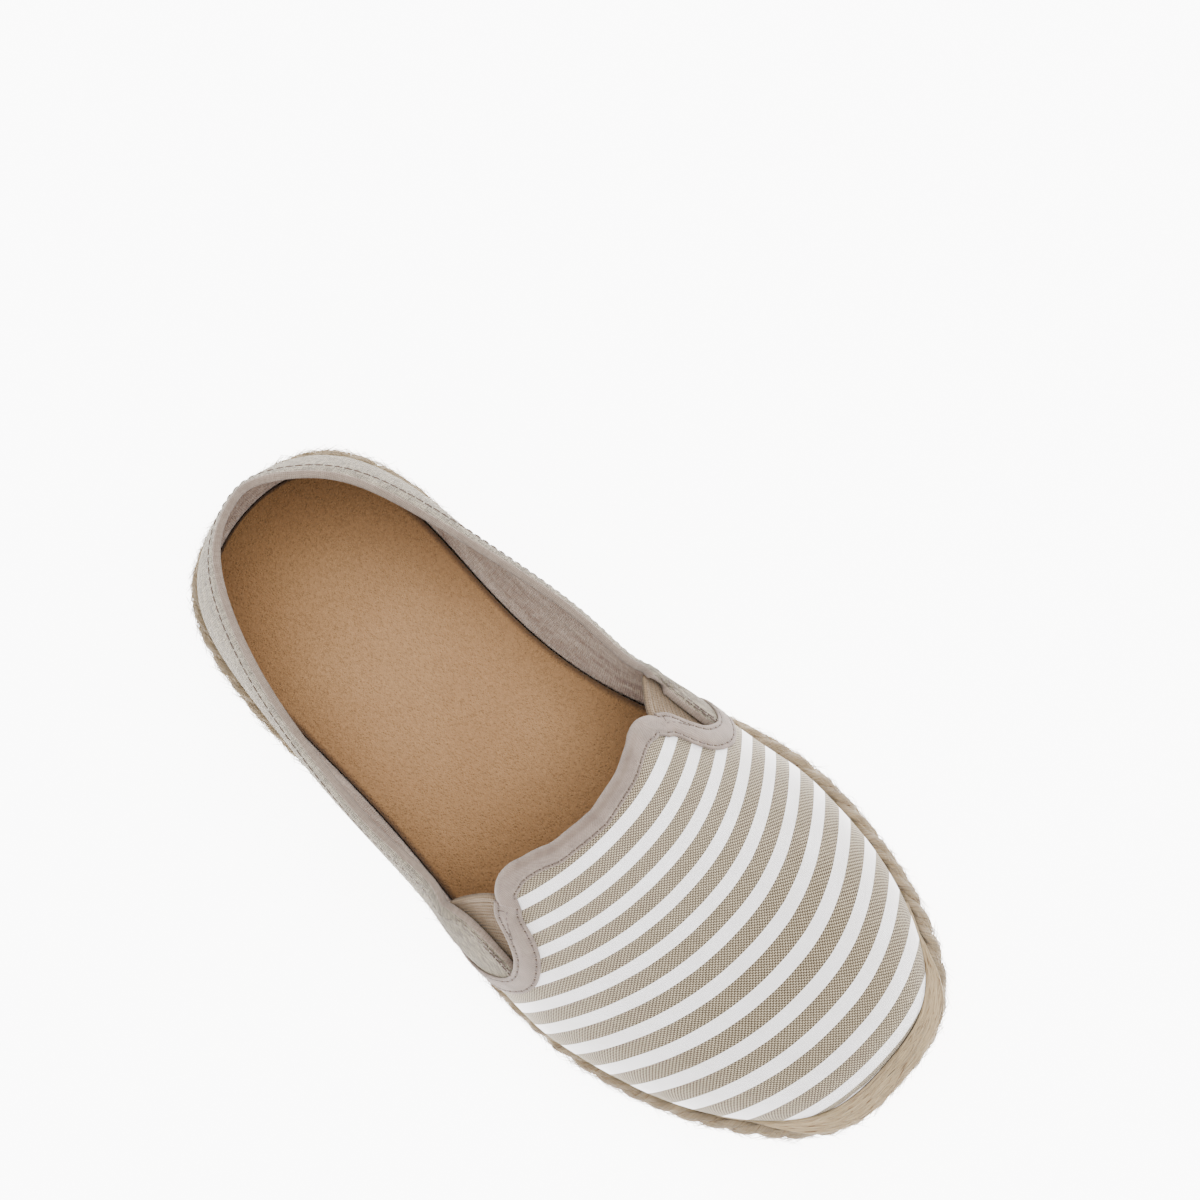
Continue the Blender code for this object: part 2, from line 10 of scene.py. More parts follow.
import bpy
import numpy as np
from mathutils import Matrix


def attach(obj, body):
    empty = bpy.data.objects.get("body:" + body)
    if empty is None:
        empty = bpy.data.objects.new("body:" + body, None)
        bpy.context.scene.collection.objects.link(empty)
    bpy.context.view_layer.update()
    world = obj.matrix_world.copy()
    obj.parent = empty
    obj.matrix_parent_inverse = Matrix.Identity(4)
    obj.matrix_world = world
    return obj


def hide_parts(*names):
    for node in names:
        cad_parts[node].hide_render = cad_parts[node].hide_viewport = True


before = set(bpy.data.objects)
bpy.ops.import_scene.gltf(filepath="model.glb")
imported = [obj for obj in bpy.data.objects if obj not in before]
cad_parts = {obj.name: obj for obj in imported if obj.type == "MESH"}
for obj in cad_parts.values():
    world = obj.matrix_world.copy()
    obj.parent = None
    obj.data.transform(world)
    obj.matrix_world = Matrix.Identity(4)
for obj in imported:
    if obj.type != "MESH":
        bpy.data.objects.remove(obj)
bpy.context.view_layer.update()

print("solids:", ", ".join(sorted(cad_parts)))

# %% [markdown]
# ## Camera
# The photo was taken from straight above, about a metre up, and turned against the shoe. A camera that
# looks straight down has no tilt, so its place, its height and one turn say everything. The lens
# follows from how much floor the photo is wide.

# %% Camera
PHOTO_WIDTH = 0.22816
CAMERA_HEIGHT = 1.0
CAMERA_SPOT = (-0.01835, 0.0332)
CAMERA_TURN = math.radians(40.95)
SENSOR = 36.0


def new_object(name, data):
    """An object of the scene that shows the data."""
    made = bpy.data.objects.new(name, data)
    bpy.context.collection.objects.link(made)
    return made


camera_data = bpy.data.cameras.new("photo_camera")
camera_data.sensor_width = SENSOR
camera_data.lens = SENSOR * CAMERA_HEIGHT / PHOTO_WIDTH
camera_data.clip_start = 0.01
camera = new_object("photo_camera", camera_data)
camera.location = (*CAMERA_SPOT, CAMERA_HEIGHT)
camera.rotation_euler = (0.0, 0.0, CAMERA_TURN)
bpy.context.scene.camera = camera
print("lens in mm:", round(camera_data.lens, 1))

# %% [markdown]
# ## Light and floor
# The photo has a white sweep lit from all round, so shadows are soft and lie close to the sole. A pale
# world gives most of the light, and one large lamp overhead gives the cloth its slight direction. A
# photographer lights such a sweep until it turns white, so the floor glows here. World, floor and cloth
# are all trees of nodes, so short calls for placing and joining nodes come first.

# %% Short calls for nodes


def tone(red, green, blue):
    """A colour read as 0 to 255 on a screen, as the linear values that a shader takes."""
    shares = np.array([red, green, blue]) / 255.0
    linear = np.where(shares <= 0.04045, shares / 12.92, ((shares + 0.055) / 1.055) ** 2.4)
    return (*linear.tolist(), 1.0)


class Wiring:
    """Places and joins the nodes of one tree. Colours are given as on a screen, or as sockets."""

    def __init__(self, tree):
        self.tree = tree

    def feed(self, sockets, values):
        """Joins or sets sockets, by name or by number."""
        for name, value in dict(values).items():
            if isinstance(value, bpy.types.NodeSocket):
                self.tree.links.new(value, sockets[name])
            else:
                sockets[name].default_value = value

    def node(self, kind, inputs=(), **settings):
        """A new node's outputs."""
        made = self.tree.nodes.new(f"ShaderNode{kind}")
        for name, value in settings.items():
            setattr(made, name, value)
        self.feed(made.inputs, inputs)
        return made.outputs

    def math(self, operation, *values):
        return self.node("Math", enumerate(values), operation=operation)[0]

    def vector(self, operation, *values):
        return self.node("VectorMath", enumerate(values), operation=operation)[0]

    def split(self, vector):
        return self.node("SeparateXYZ", {"Vector": vector})

    def group(self, tree, **inputs):
        return self.node("Group", inputs, node_tree=tree)

    def mix(self, share, low, high, blend="MIX"):
        low, high = (tone(*colour) if isinstance(colour, tuple) else colour for colour in (low, high))
        return self.node("Mix", {0: share, 6: low, 7: high}, data_type="RGBA", blend_type=blend)[2]

    def tint(self, colour, mask, part, other, blend="MIX"):
        """A colour that goes part of the way to another one where the mask is full."""
        return self.mix(self.math("MULTIPLY", mask, part), colour, other, blend)

    def noise(self, vector, scale, detail=3.0, roughness=0.55):
        values = {"Vector": vector, "Scale": scale, "Detail": detail, "Roughness": roughness}
        return self.node("TexNoise", values)["Fac"]

    def spread(self, value, low, high):
        """A mask that is empty at low and full at high."""
        return self.node("MapRange", {"Value": value, "From Min": low, "From Max": high})["Result"]

    def blots(self, *noise):
        return self.spread(self.noise(*noise), 0.3, 0.7)

    def ridges(self, value):
        """Round ridges, one from each whole number to the next."""
        return self.math("ABSOLUTE", self.math("SINE", self.math("MULTIPLY", value, math.pi)))

    def stretch(self, vector, x, y):
        return self.vector("MULTIPLY", vector, (x, y, 1.0))


def new_finish(name):
    """A new material, its wiring and the sockets of its shader."""
    finish = bpy.data.materials.new(name)
    finish.use_nodes = True
    return finish, Wiring(finish.node_tree), finish.node_tree.nodes["Principled BSDF"].inputs


# %% Light and floor
WORLD_STRENGTH = 1.40
LAMP_POWER = 27.0
FLOOR_GLOW = 8.0
FLOOR_SIZE = 6.0
LAMP_SIZE = 1.0
LAMP_SPOT = (-0.12, 0.22, 1.2)
WHITE = (255, 255, 255)

world = bpy.data.worlds.new("studio")
world.use_nodes = True
background = world.node_tree.nodes["Background"].inputs
Wiring(world.node_tree).feed(background, {"Color": tone(*WHITE), "Strength": WORLD_STRENGTH})
bpy.context.scene.world = world

lamp_data = bpy.data.lights.new("overhead", "AREA")
lamp_data.energy = LAMP_POWER
lamp_data.size = LAMP_SIZE
lamp = new_object("overhead", lamp_data)
lamp.location = LAMP_SPOT
lamp_x, lamp_y, lamp_z = LAMP_SPOT
lamp.rotation_euler = (-math.atan2(lamp_y, lamp_z), math.atan2(lamp_x, lamp_z), 0.0)

bpy.ops.mesh.primitive_plane_add(size=FLOOR_SIZE)
floor = bpy.context.object
floor.name = "floor"
floor_finish, w, shader = new_finish("floor")
w.feed(shader, {"Base Color": tone(246, 246, 246), "Roughness": 0.9,
                "Emission Color": tone(*WHITE), "Emission Strength": FLOOR_GLOW})
floor.data.materials.append(floor_finish)

# %% [markdown]
# ## The form of the shoe
# A shoemaker starts from a last. The solids were worked out from its sections, and the same tables and
# functions are repeated here, so that every fine piece lies exactly on them. A place counts the
# sections round the sole: 0 is the heel, 13 the tip of the toe. Up runs from 0 at the sole to 1 at the
# top line.

# %% Sizes of the shoe
SOLE_LENGTH = 0.1670
BALL_WIDTH = 0.0720
HEEL_HEIGHT = 0.0380
INSTEP_HEIGHT = 0.0420
HEEL_STACK = 0.0125
BALL_STACK = 0.0112
TOE_SPRING = 0.0062
ARCH_RISE = 0.0008
OUTSOLE_THICK = 0.0030
OUTSOLE_BEVEL = 0.0006
OUTSOLE_SETBACK = 0.0010
INSOLE_THICK = 0.0016
WALL = 0.0013
ROPE_RADIUS = 0.0014
ROPE_DROP = 0.0002
TOE_BAND_WIDTH = 0.0014
THROAT_BINDING_WIDTH = 0.0045
GORE_BINDING_WIDTH = 0.0052
BINDING_THICK = 0.0006
HEM_WIDTH = 0.0040
HEM_STEP = 0.0004
GORE_THICK = 0.0009
GORE_CLEAR = 0.0005
VAMP_TUCK = 0.0050
GAP = 0.0003
ARCH_SPAN = (0.30, 0.58)
STACK_SPAN = (0.30, 0.65)
TOE_SPRING_START = 0.74
TOE_SPRING_CURVE = 1.7

# %% Sections round the shoe
# The sole's edge and the upper's top line: along is a share of SOLE_LENGTH, across of BALL_WIDTH, up of
# HEEL_HEIGHT or, at the instep, of INSTEP_HEIGHT; low and high say how far the wall swells.
SECTIONS = np.array((
    # in thousandths: sole along, across; top along, across, up; low, high
    (0, 25, 17, 49, 1000, 22, 10),
    (19, -172, 35, -67, 985, 20, 10),
    (77, -297, 91, -175, 940, 22, 26),
    (173, -354, 180, -265, 876, 26, 33),
    (278, -375, 281, -324, 805, 40, 48),
    (382, -400, 378, -357, 766, 46, 54),
    (486, -442, 456, -364, 763, 46, 62),
    (592, -489, 487, -362, 775, 40, 56),
    (697, -499, 509, -160, 955, 17, 20),
    (796, -458, 522, -83, 985, 10, 10),
    (883, -375, 527, -28, 995, 4, 10),
    (953, -261, 530, 11, 1000, 0, 10),
    (992, -125, 531, 32, 1000, 0, 10),
    (1000, 32, 532, 43, 1000, 0, 10),
    (993, 189, 532, 55, 1000, 0, 10),
    (956, 319, 531, 74, 1000, 0, 10),
    (886, 415, 529, 111, 995, 4, 10),
    (799, 475, 525, 167, 985, 14, 10),
    (697, 500, 513, 240, 955, 26, 30),
    (592, 456, 487, 396, 775, 58, 62),
    (486, 376, 456, 406, 763, 38, 64),
    (382, 338, 378, 401, 766, 31, 64),
    (278, 350, 275, 374, 805, 39, 58),
    (173, 375, 169, 331, 876, 47, 55),
    (77, 340, 83, 264, 940, 31, 33),
    (19, 217, 28, 142, 985, 22, 14),
)) / 1000
INSTEP_ROWS = slice(8, 19)
VAMP_RIDGE = (
    # along, rise above the sole as a share of INSTEP_HEIGHT
    (0.48, 1.12), (0.57, 0.92), (0.64, 0.73), (0.71, 0.571),
    (0.78, 0.462), (0.85, 0.408), (0.92, 0.345), (1.00, 0.300),
)
VAMP_FULLNESS = 2.25
TOE_FULLNESS = 2.5
TOE_ROUNDING_START = 0.74
RIDGE = 0.039 * BALL_WIDTH
ROUND = len(SECTIONS)
TIP = ROUND // 2
TUCK_SHARE = 0.15
TUCK_REACH = 6.0
VAMP_START = {"outer": 6.4, "inner": 6.1}
VAMP_BLEND = 1.2
TOE_BAND_REACH = 3.2
TOE_BAND_FADE = 1.25
LOW_ROW = np.array([0.10, 0.10, 0.32])
HIGH_ROW = np.array([0.67, 0.67, 0.72])
ROPE_ROOM = 2 * ROPE_RADIUS + GAP

# %% Curves through the tables


def closed_spline(values):
    """A smooth closed curve through a table's rows, as a function of the place round the shoe."""
    count = len(values)
    own = np.eye(count)
    matrix = (4.0 * own + np.roll(own, 1, axis=1) + np.roll(own, -1, axis=1)) / 6.0
    weights = np.linalg.solve(matrix, values)

    def at(place):
        place = np.asarray(place, float)
        first = np.floor(place).astype(int)
        f = (place - first)[..., None]
        blend = ((1 - f) ** 3, 3 * f**3 - 6 * f**2 + 4, -3 * f**3 + 3 * f**2 + 3 * f + 1, f**3)
        return sum(share * weights[(first + shift - 1) % count] for shift, share in enumerate(blend)) / 6.0

    return at


def smooth_step(value):
    value = np.clip(value, 0.0, 1.0)
    return value * value * (3.0 - 2.0 * value)


def smooth_table(rows, at):
    """A smooth curve through the rows of a two-column table."""
    knots, values = np.asarray(rows, float).T
    slopes = np.gradient(values, knots)
    at = np.clip(at, knots[0], knots[-1])
    span = np.clip(np.searchsorted(knots, at, side="right") - 1, 0, len(knots) - 2)
    width = knots[span + 1] - knots[span]
    f = (at - knots[span]) / width
    start = (1 + 2 * f) * (1 - f) ** 2 * values[span] + f * (1 - f) ** 2 * width * slopes[span]
    end = f**2 * (3 - 2 * f) * values[span + 1] + f**2 * (f - 1) * width * slopes[span + 1]
    return start + end


def table_points(rows, per_row):
    """A table's rows with smooth points between them."""
    rows = np.asarray(rows, float)
    index = np.arange(len(rows))
    steps = np.linspace(0, index[-1], index[-1] * per_row + 1)
    return np.stack([smooth_table(np.stack([index, column], 1), steps) for column in rows.T], 1)


tall = np.full(ROUND, HEEL_HEIGHT)
tall[INSTEP_ROWS] = INSTEP_HEIGHT
edge_spline = closed_spline(SECTIONS[:, :2])
top_spline = closed_spline(SECTIONS[:, 2:4])
top_height = closed_spline((HEEL_STACK + SECTIONS[:, 4] * tall)[:, None])
swell_spline = closed_spline(SECTIONS[:, 5:])

# %% The sole's lines


def along_share(x):
    return x / SOLE_LENGTH + 0.5


def span_share(x, span):
    return (along_share(x) - span[0]) / (span[1] - span[0])


def plan(shares):
    return np.stack([(shares[..., 0] - 0.5) * SOLE_LENGTH, shares[..., 1] * BALL_WIDTH], -1)


def unit(vectors):
    return vectors / np.linalg.norm(vectors, axis=-1, keepdims=True)


def with_height(flat, height):
    return np.concatenate([flat, height[..., None]], -1)


def outward(place):
    """The direction square to the sole's edge, away from the shoe."""
    step = 0.02
    run = unit(plan(edge_spline(np.asarray(place) + step)) - plan(edge_spline(np.asarray(place) - step)))
    return np.stack([run[..., 1], -run[..., 0]], -1)


def inset_edge(place, inset):
    return plan(edge_spline(place)) - outward(place) * np.asarray(inset)[..., None]


def toe_lift(x):
    past = (along_share(x) - TOE_SPRING_START) / (1.0 - TOE_SPRING_START)
    return TOE_SPRING * np.clip(past, 0.0, 1.0) ** TOE_SPRING_CURVE


def sole_bottom(x):
    arch = np.sin(np.pi * np.clip(span_share(x, ARCH_SPAN), 0.0, 1.0)) ** 2
    return ARCH_RISE * arch + toe_lift(x)


def sole_top(x):
    stack = HEEL_STACK + (BALL_STACK - HEEL_STACK) * smooth_step(span_share(x, STACK_SPAN))
    return stack + toe_lift(x)


def from_tip(place):
    return np.abs(np.mod(np.asarray(place, float), ROUND) - TIP)


def foot_inset(place):
    """How far inside the sole's edge the upper stands, with room for the toe's strip of jute."""
    toe = smooth_step(TOE_BAND_FADE * (1.0 - from_tip(place) / TOE_BAND_REACH))
    return ROPE_ROOM + (TOE_BAND_WIDTH + GAP) * toe


def foot_line(place):
    flat = inset_edge(place, foot_inset(place))
    return with_height(flat, sole_top(flat[..., 0]) + GAP)


# %% The upper's surface


def top_line(place):
    return with_height(plan(top_spline(place)), top_height(place)[..., 0])


def swell_line(place):
    return foot_line(place)[..., :2] + outward(place) * swell_spline(place)[..., :1] * BALL_WIDTH


SWELL_POINTS = 161
OUTER_SWELL, INNER_SWELL = (swell_line(np.linspace(heel, TIP, SWELL_POINTS)) for heel in (0, ROUND))
FOOT_TIP = along_share(OUTER_SWELL[-1, 0])


def vamp_height(x, y, tuck):
    """The forefoot's sections: each rounds from its widest line up to the ridge."""
    share = along_share(x)
    past = np.clip((share - TOE_ROUNDING_START) / (FOOT_TIP - TOE_ROUNDING_START), 0.0, 1.0)
    rounding = (1.0 - past**TOE_FULLNESS) ** (1.0 / TOE_FULLNESS)
    rise = INSTEP_HEIGHT * smooth_table(VAMP_RIDGE, share) * rounding
    outer = RIDGE - np.interp(x, *OUTER_SWELL.T)
    inner = np.interp(x, *INNER_SWELL.T) - RIDGE
    half = np.maximum(np.where(y < RIDGE, outer, inner), GAP)
    reach = np.clip(np.abs(y - RIDGE) / half, 0.0, 1.0)
    arch = (1.0 - reach**VAMP_FULLNESS) ** (1.0 / VAMP_FULLNESS)
    return sole_top(x) + GAP + tuck + (rise - tuck) * arch


def wall_point(place, up):
    """The quarters: each section swells from the sole and leans in to the collar."""
    foot, top, swell = foot_line(place), top_line(place), swell_spline(place)
    out = with_height(outward(place), 0 * place) * BALL_WIDTH
    low = foot + (top - foot) * LOW_ROW + out * swell[..., :1]
    high = foot + (top - foot) * HIGH_ROW + out * swell[..., 1:]
    up = up[..., None]
    down = 1.0 - up
    return down**3 * foot + 3 * down**2 * up * low + 3 * down * up**2 * high + up**3 * top


def vamp_point(place, up):
    foot, top, wide = foot_line(place), top_line(place)[..., :2], swell_line(place)
    tuck = VAMP_TUCK * smooth_step(from_tip(place) / TUCK_REACH)
    low = np.clip(up / TUCK_SHARE, 0.0, 1.0)
    high = np.clip((up - TUCK_SHARE) / (1.0 - TUCK_SHARE), 0.0, None)
    flat = foot[..., :2] + (wide - foot[..., :2]) * np.sin(low * math.pi / 2)[..., None]
    flat = flat + (top - wide) * (1.0 - np.cos(high * math.pi / 2))[..., None]
    dome = vamp_height(flat[..., 0], flat[..., 1], tuck)
    return with_height(flat, np.where(up < TUCK_SHARE, foot[..., 2] + tuck * low, dome))


def upper_outside(place, up):
    place, up = np.broadcast_arrays(np.asarray(place, float), np.asarray(up, float))
    start = np.where(np.mod(place, ROUND) > TIP, VAMP_START["inner"], VAMP_START["outer"])
    vamp = smooth_step((start - from_tip(place)) / VAMP_BLEND)[..., None]
    return wall_point(place, up) * (1 - vamp) + vamp_point(place, up) * vamp


def upper_normal(place, up):
    place, up = np.broadcast_arrays(np.asarray(place, float), np.asarray(up, float))
    step = 0.01
    run = upper_outside(place + step, up) - upper_outside(place - step, up)
    rise = upper_outside(place, up + step) - upper_outside(place, np.maximum(up - step, 0.0))
    normal = np.cross(run, rise)
    normal[..., 2] = np.where(up <= 0.0, 0.0, normal[..., 2])
    return unit(normal)


# %% [markdown]
# ## Soft creases
# Cloth on a sewn shoe is never quite even. The quarters hang a little slack between heel and gore, and
# the vamp dips where the foot bends it. Each crease is listed one by one: a trough or a ridge with its
# own place, size and turn. They are added to the surface itself, so tapes and stitches follow them.

# %% Soft creases
PLACE_LENGTH = 0.0155
UP_LENGTH = 0.042
CREASE_FADE = 0.12
CREASES = (
    # place, up, long, wide, turn in degrees, depth, in metres
    (0.0, 0.36, 0.055, 0.014, 0, 0.0009),
    (19.7, 0.62, 0.013, 0.018, 0, -0.0014),
    (18.4, 0.15, 0.017, 0.010, 0, -0.0010),
    (2.6, 0.45, 0.016, 0.008, 15, -0.0005),
    (5.1, 0.62, 0.018, 0.004, -8, -0.0004),
    (4.3, 0.30, 0.015, 0.004, 12, 0.0003),
    (6.6, 0.70, 0.009, 0.003, -20, -0.0003),
    (23.3, 0.50, 0.015, 0.008, -12, -0.0004),
    (21.2, 0.60, 0.020, 0.005, 6, -0.0005),
    (22.2, 0.28, 0.013, 0.004, -15, 0.0003),
    (19.6, 0.72, 0.008, 0.003, 18, -0.0003),
    (9.2, 0.55, 0.014, 0.0035, 62, -0.0003),
    (16.9, 0.52, 0.013, 0.0035, -60, -0.0003),
)


def creased(place, up):
    """How far the cloth stands off its smooth form."""
    total = np.zeros(np.broadcast(place, up).shape)
    for middle, height, long, wide, turn, depth in CREASES:
        run = (np.mod(place - middle + ROUND / 2, ROUND) - ROUND / 2) * PLACE_LENGTH
        rise = (up - height) * UP_LENGTH
        cos, sin = math.cos(math.radians(turn)), math.sin(math.radians(turn))
        along, across = run * cos + rise * sin, rise * cos - run * sin
        total = total + depth * np.exp(-((along / long) ** 2) - (across / wide) ** 2)
    return total * smooth_step(np.asarray(up) / CREASE_FADE)


def upper_point(place, up, offset):
    """A point of the upper, offset outward from the cloth's face."""
    stand = creased(place, up) + offset
    return upper_outside(place, up) + upper_normal(place, up) * np.asarray(stand)[..., None]


# %% [markdown]
# ## Plain weave
# Weave, twill, mottling and fibre come back on several cloths, so each is a node group that is built
# once. It puts out masks and heights, and each material chooses its own colours and sizes. In a plain
# weave, warp and weft pass over and under each other. Each thread is a half round, lifted in one cell and
# sunk in the next, and the higher of the two shows. Sines keep this soft and seamless, where a checker
# would look printed. Threads of real yarn wander, so the cloth's place is shaken a little first.

# %% Group: plain weave


def new_group(name, inputs, outputs):
    """A shader group that is given a place and some numbers: its tree, wiring, inputs and outputs."""
    tree = bpy.data.node_groups.new(name, "ShaderNodeTree")
    tree.interface.new_socket("Place", in_out="INPUT", socket_type="NodeSocketVector")
    for way, sockets in (("INPUT", inputs), ("OUTPUT", outputs)):
        for socket in sockets:
            tree.interface.new_socket(socket, in_out=way, socket_type="NodeSocketFloat")
    entry, leave = tree.nodes.new("NodeGroupInput"), tree.nodes.new("NodeGroupOutput")
    return tree, Wiring(tree), entry.outputs, leave.inputs


weave, w, given, result = new_group(
    "plain weave", ("Pitch", "Wander"), ("Height", "Warp", "Warp Number", "Yarn")
)
shaken = w.node("TexNoise", {"Vector": given["Place"], "Scale": 260.0, "Detail": 2.0})["Color"]
shift = w.vector("SUBTRACT", shaken, (0.5, 0.5, 0.5))
parts = w.split(w.vector("MULTIPLY_ADD", shift, given["Wander"], given["Place"]))
across, along = (w.math("DIVIDE", parts[axis], given["Pitch"]) for axis in "XY")


def lifted(own, other, sign):
    """One thread's height: round across, and waving along over the threads of the other set."""
    number = w.math("FLOOR", own)
    turn = w.math("COSINE", w.math("MULTIPLY", number, math.pi))
    wave = w.math("MULTIPLY", turn, w.math("SINE", w.math("MULTIPLY", other, math.pi)))
    lift = w.math("MULTIPLY_ADD", wave, 0.5 * sign, 0.5)
    return w.math("MULTIPLY", w.ridges(own), lift), number


def yarn(x, y):
    """Each thread's own tone, which changes slowly along it."""
    return w.noise(w.node("CombineXYZ", {"X": x, "Y": y})[0], 1.0, 2.0)


warp_height, warp_number = lifted(across, along, 1)
weft_height, weft_number = lifted(along, across, -1)
on_top = w.spread(w.math("SUBTRACT", warp_height, weft_height), -0.12, 0.12)
warp_yarn = yarn(w.math("MULTIPLY", warp_number, 3.7), w.math("MULTIPLY", along, 0.16))
weft_yarn = yarn(w.math("MULTIPLY", across, 0.16), w.math("MULTIPLY", weft_number, 3.7))
w.feed(result, {
    "Height": w.math("MAXIMUM", warp_height, weft_height),
    "Warp": on_top,
    "Warp Number": warp_number,
    "Yarn": w.node("Mix", {0: on_top, 2: weft_yarn, 3: warp_yarn}, data_type="FLOAT")[0],
})
print("plain weave:", len(weave.nodes), "nodes")

# %% [markdown]
# ## Twill, mottle and fibre
# Twill tape shows fine slanting ribs. Mottling is the unevenness of any dyed or natural stuff. Fibre is
# noise drawn out along a strand, which is how jute, with its long bast fibres, looks from near.

# %% Groups: twill, mottle, fibre
twill, w, given, result = new_group("twill", ("Pitch",), ("Height",))
parts = w.split(given["Place"])
rib, bead = (
    w.ridges(w.math("DIVIDE", w.math("MULTIPLY_ADD", parts["Y"], slope, parts["X"]), given["Pitch"]))
    for slope in (1.6, -0.6)
)
w.feed(result, {"Height": w.math("MULTIPLY", rib, w.math("MULTIPLY_ADD", bead, 0.35, 0.65))})

mottle, w, given, result = new_group("mottle", ("Coarse", "Fine"), ("Coarse Mask", "Fine Mask"))
w.feed(result, {
    "Coarse Mask": w.blots(given["Place"], given["Coarse"]),
    "Fine Mask": w.blots(given["Place"], given["Fine"], 5.0, 0.7),
})

fibre, w, given, result = new_group("fibre", ("Scale",), ("Strand", "Hair", "Gap"))
drawn, wider = (w.stretch(given["Place"], share, 1.0) for share in (0.045, 0.1))
gaps = w.noise(wider, w.math("MULTIPLY", given["Scale"], 0.8))
w.feed(result, {
    "Strand": w.blots(drawn, given["Scale"], 4.0, 0.6),
    "Hair": w.blots(drawn, w.math("MULTIPLY", given["Scale"], 3.1), 3.0, 0.7),
    "Gap": w.spread(gaps, 0.34, 0.42),
})
print("groups:", ", ".join(tree.name for tree in bpy.data.node_groups))

# %% [markdown]
# ## Striped canvas
# The vamp is a plain weave whose crosswise threads are white in one stripe and raw beige in the next,
# over light lengthwise threads. So the stripe is a matter of counting threads: the weave group
# gives each thread its number, and a stripe repeats after eighteen of them. The beige stripes then get
# their salt-and-pepper look by themselves.

# %% Striped canvas
STRIPE_PERIOD = 0.006568
STRIPE_THREADS = 18
WHITE_THREADS = 8
CANVAS_PITCH = STRIPE_PERIOD / STRIPE_THREADS


def start_finish(name, roughness, sheen=0.0):
    """A new material, with the place read from a UV map in metres."""
    finish, w, shader = new_finish(name)
    w.feed(shader, {"Roughness": roughness, "Specular IOR Level": 0.3,
                    "Sheen Weight": sheen, "Sheen Roughness": 0.5})
    return finish, w, shader, w.node("UVMap", uv_map="cloth")["UV"]


def end_finish(w, shader, colour, height, depth):
    """The colour, and a bump of a real depth in metres."""
    bump = w.node("Bump", {"Strength": 1.0, "Distance": depth, "Height": height})
    w.feed(shader, {"Base Color": colour, "Normal": bump["Normal"]})


canvas, w, shader, place = start_finish("striped canvas", 0.85, 0.15)
cloth = w.group(weave, Place=place, Pitch=CANVAS_PITCH, Wander=0.00012)
spots = w.group(mottle, Place=place, Coarse=120.0, Fine=2600.0)
counted = w.math("ADD", cloth["Warp Number"], WHITE_THREADS / 2)
white = w.math("LESS_THAN", w.math("FLOORED_MODULO", counted, STRIPE_THREADS), WHITE_THREADS - 0.5)
raw_yarn = w.mix(cloth["Yarn"], (45, 34, 20), (81, 65, 45))
cream_yarn = w.mix(cloth["Yarn"], (151, 138, 114), (191, 177, 151))
white_yarn = w.mix(cloth["Yarn"], (244, 240, 241), (253, 250, 250))
colour = w.mix(white, w.mix(cloth["Warp"], cream_yarn, raw_yarn), white_yarn)
colour = w.mix(1.0, colour, w.mix(spots["Coarse Mask"], (246, 244, 241), WHITE), "MULTIPLY")
hollow = w.spread(cloth["Height"], 0.0, 0.55)
dark_between = w.mix(white, (150, 138, 118), (246, 245, 246))
colour = w.mix(1.0, colour, w.mix(hollow, dark_between, WHITE), "MULTIPLY")
end_finish(w, shader, colour, cloth["Height"], 0.00013)

# %% [markdown]
# ## Linen, lining, tape and webbing
# The quarters are plain linen in one colour, a little coarser. The lining is a soft pinkish weave with
# streaks. The tapes are twill, and the gores are woven webbing whose ribs are real geometry, so
# the material only adds yarn to them.

# %% Linen, lining and webbing
YARN_WANDER = 0.00016
SLUB_SCALE = 1450.0
SLUB_SHAPE = 0.22


def woven_finish(name, pitch, dark, light, between, depth, sheen, streak, slub):
    """A one-coloured plain weave with yarn that varies between two tones, and thick places in it."""
    finish, w, shader, place = start_finish(name, 0.88, sheen)
    cloth = w.group(weave, Place=place, Pitch=pitch, Wander=YARN_WANDER)
    spots = w.group(mottle, Place=w.stretch(place, 0.35, 1.0), Coarse=190.0, Fine=2200.0)
    colour = w.tint(w.mix(cloth["Yarn"], dark, light), spots["Coarse Mask"], streak, between, "MULTIPLY")
    hollow = w.spread(cloth["Height"], 0.0, 0.5)
    colour = w.mix(1.0, colour, w.mix(hollow, between, WHITE), "MULTIPLY")
    upright = w.noise(w.stretch(place, 1.0, SLUB_SHAPE), SLUB_SCALE, 2.0)
    level = w.noise(w.stretch(place, SLUB_SHAPE, 1.0), SLUB_SCALE, 2.0)
    thick = w.spread(w.math("MAXIMUM", upright, level), 0.50, 0.66)
    thin = w.spread(w.math("MINIMUM", upright, level), 0.48, 0.34)
    colour = w.tint(w.tint(colour, thick, slub, light), thin, slub, dark)
    uneven = w.math("MULTIPLY", w.math("SUBTRACT", thick, thin), slub * 0.3)
    height = w.math("MULTIPLY_ADD", spots["Fine Mask"], 0.25, w.math("ADD", cloth["Height"], uneven))
    end_finish(w, shader, colour, height, depth)
    return finish


linen, hem_cloth, lining, webbing = (woven_finish(*row) for row in (
    # name, pitch, dark, light, between, depth, sheen, streak, slub
    ("quarter linen", 0.00050, (64, 54, 40), (146, 134, 112), (138, 127, 108), 0.00026, 0.1, 0.4, 0.52),
    ("collar facing", 0.00034, (114, 99, 88), (147, 131, 118), (190, 178, 168), 0.00014, 0.15, 0.2, 0.35),
    ("lining", 0.00040, (158, 134, 115), (230, 213, 197), (162, 134, 116), 0.00014, 0.2, 0.9, 0.3),
    ("elastic webbing", 0.00052, (97, 80, 61), (134, 115, 93), (150, 134, 112), 0.00010, 0.1, 0.2, 0.0),
))

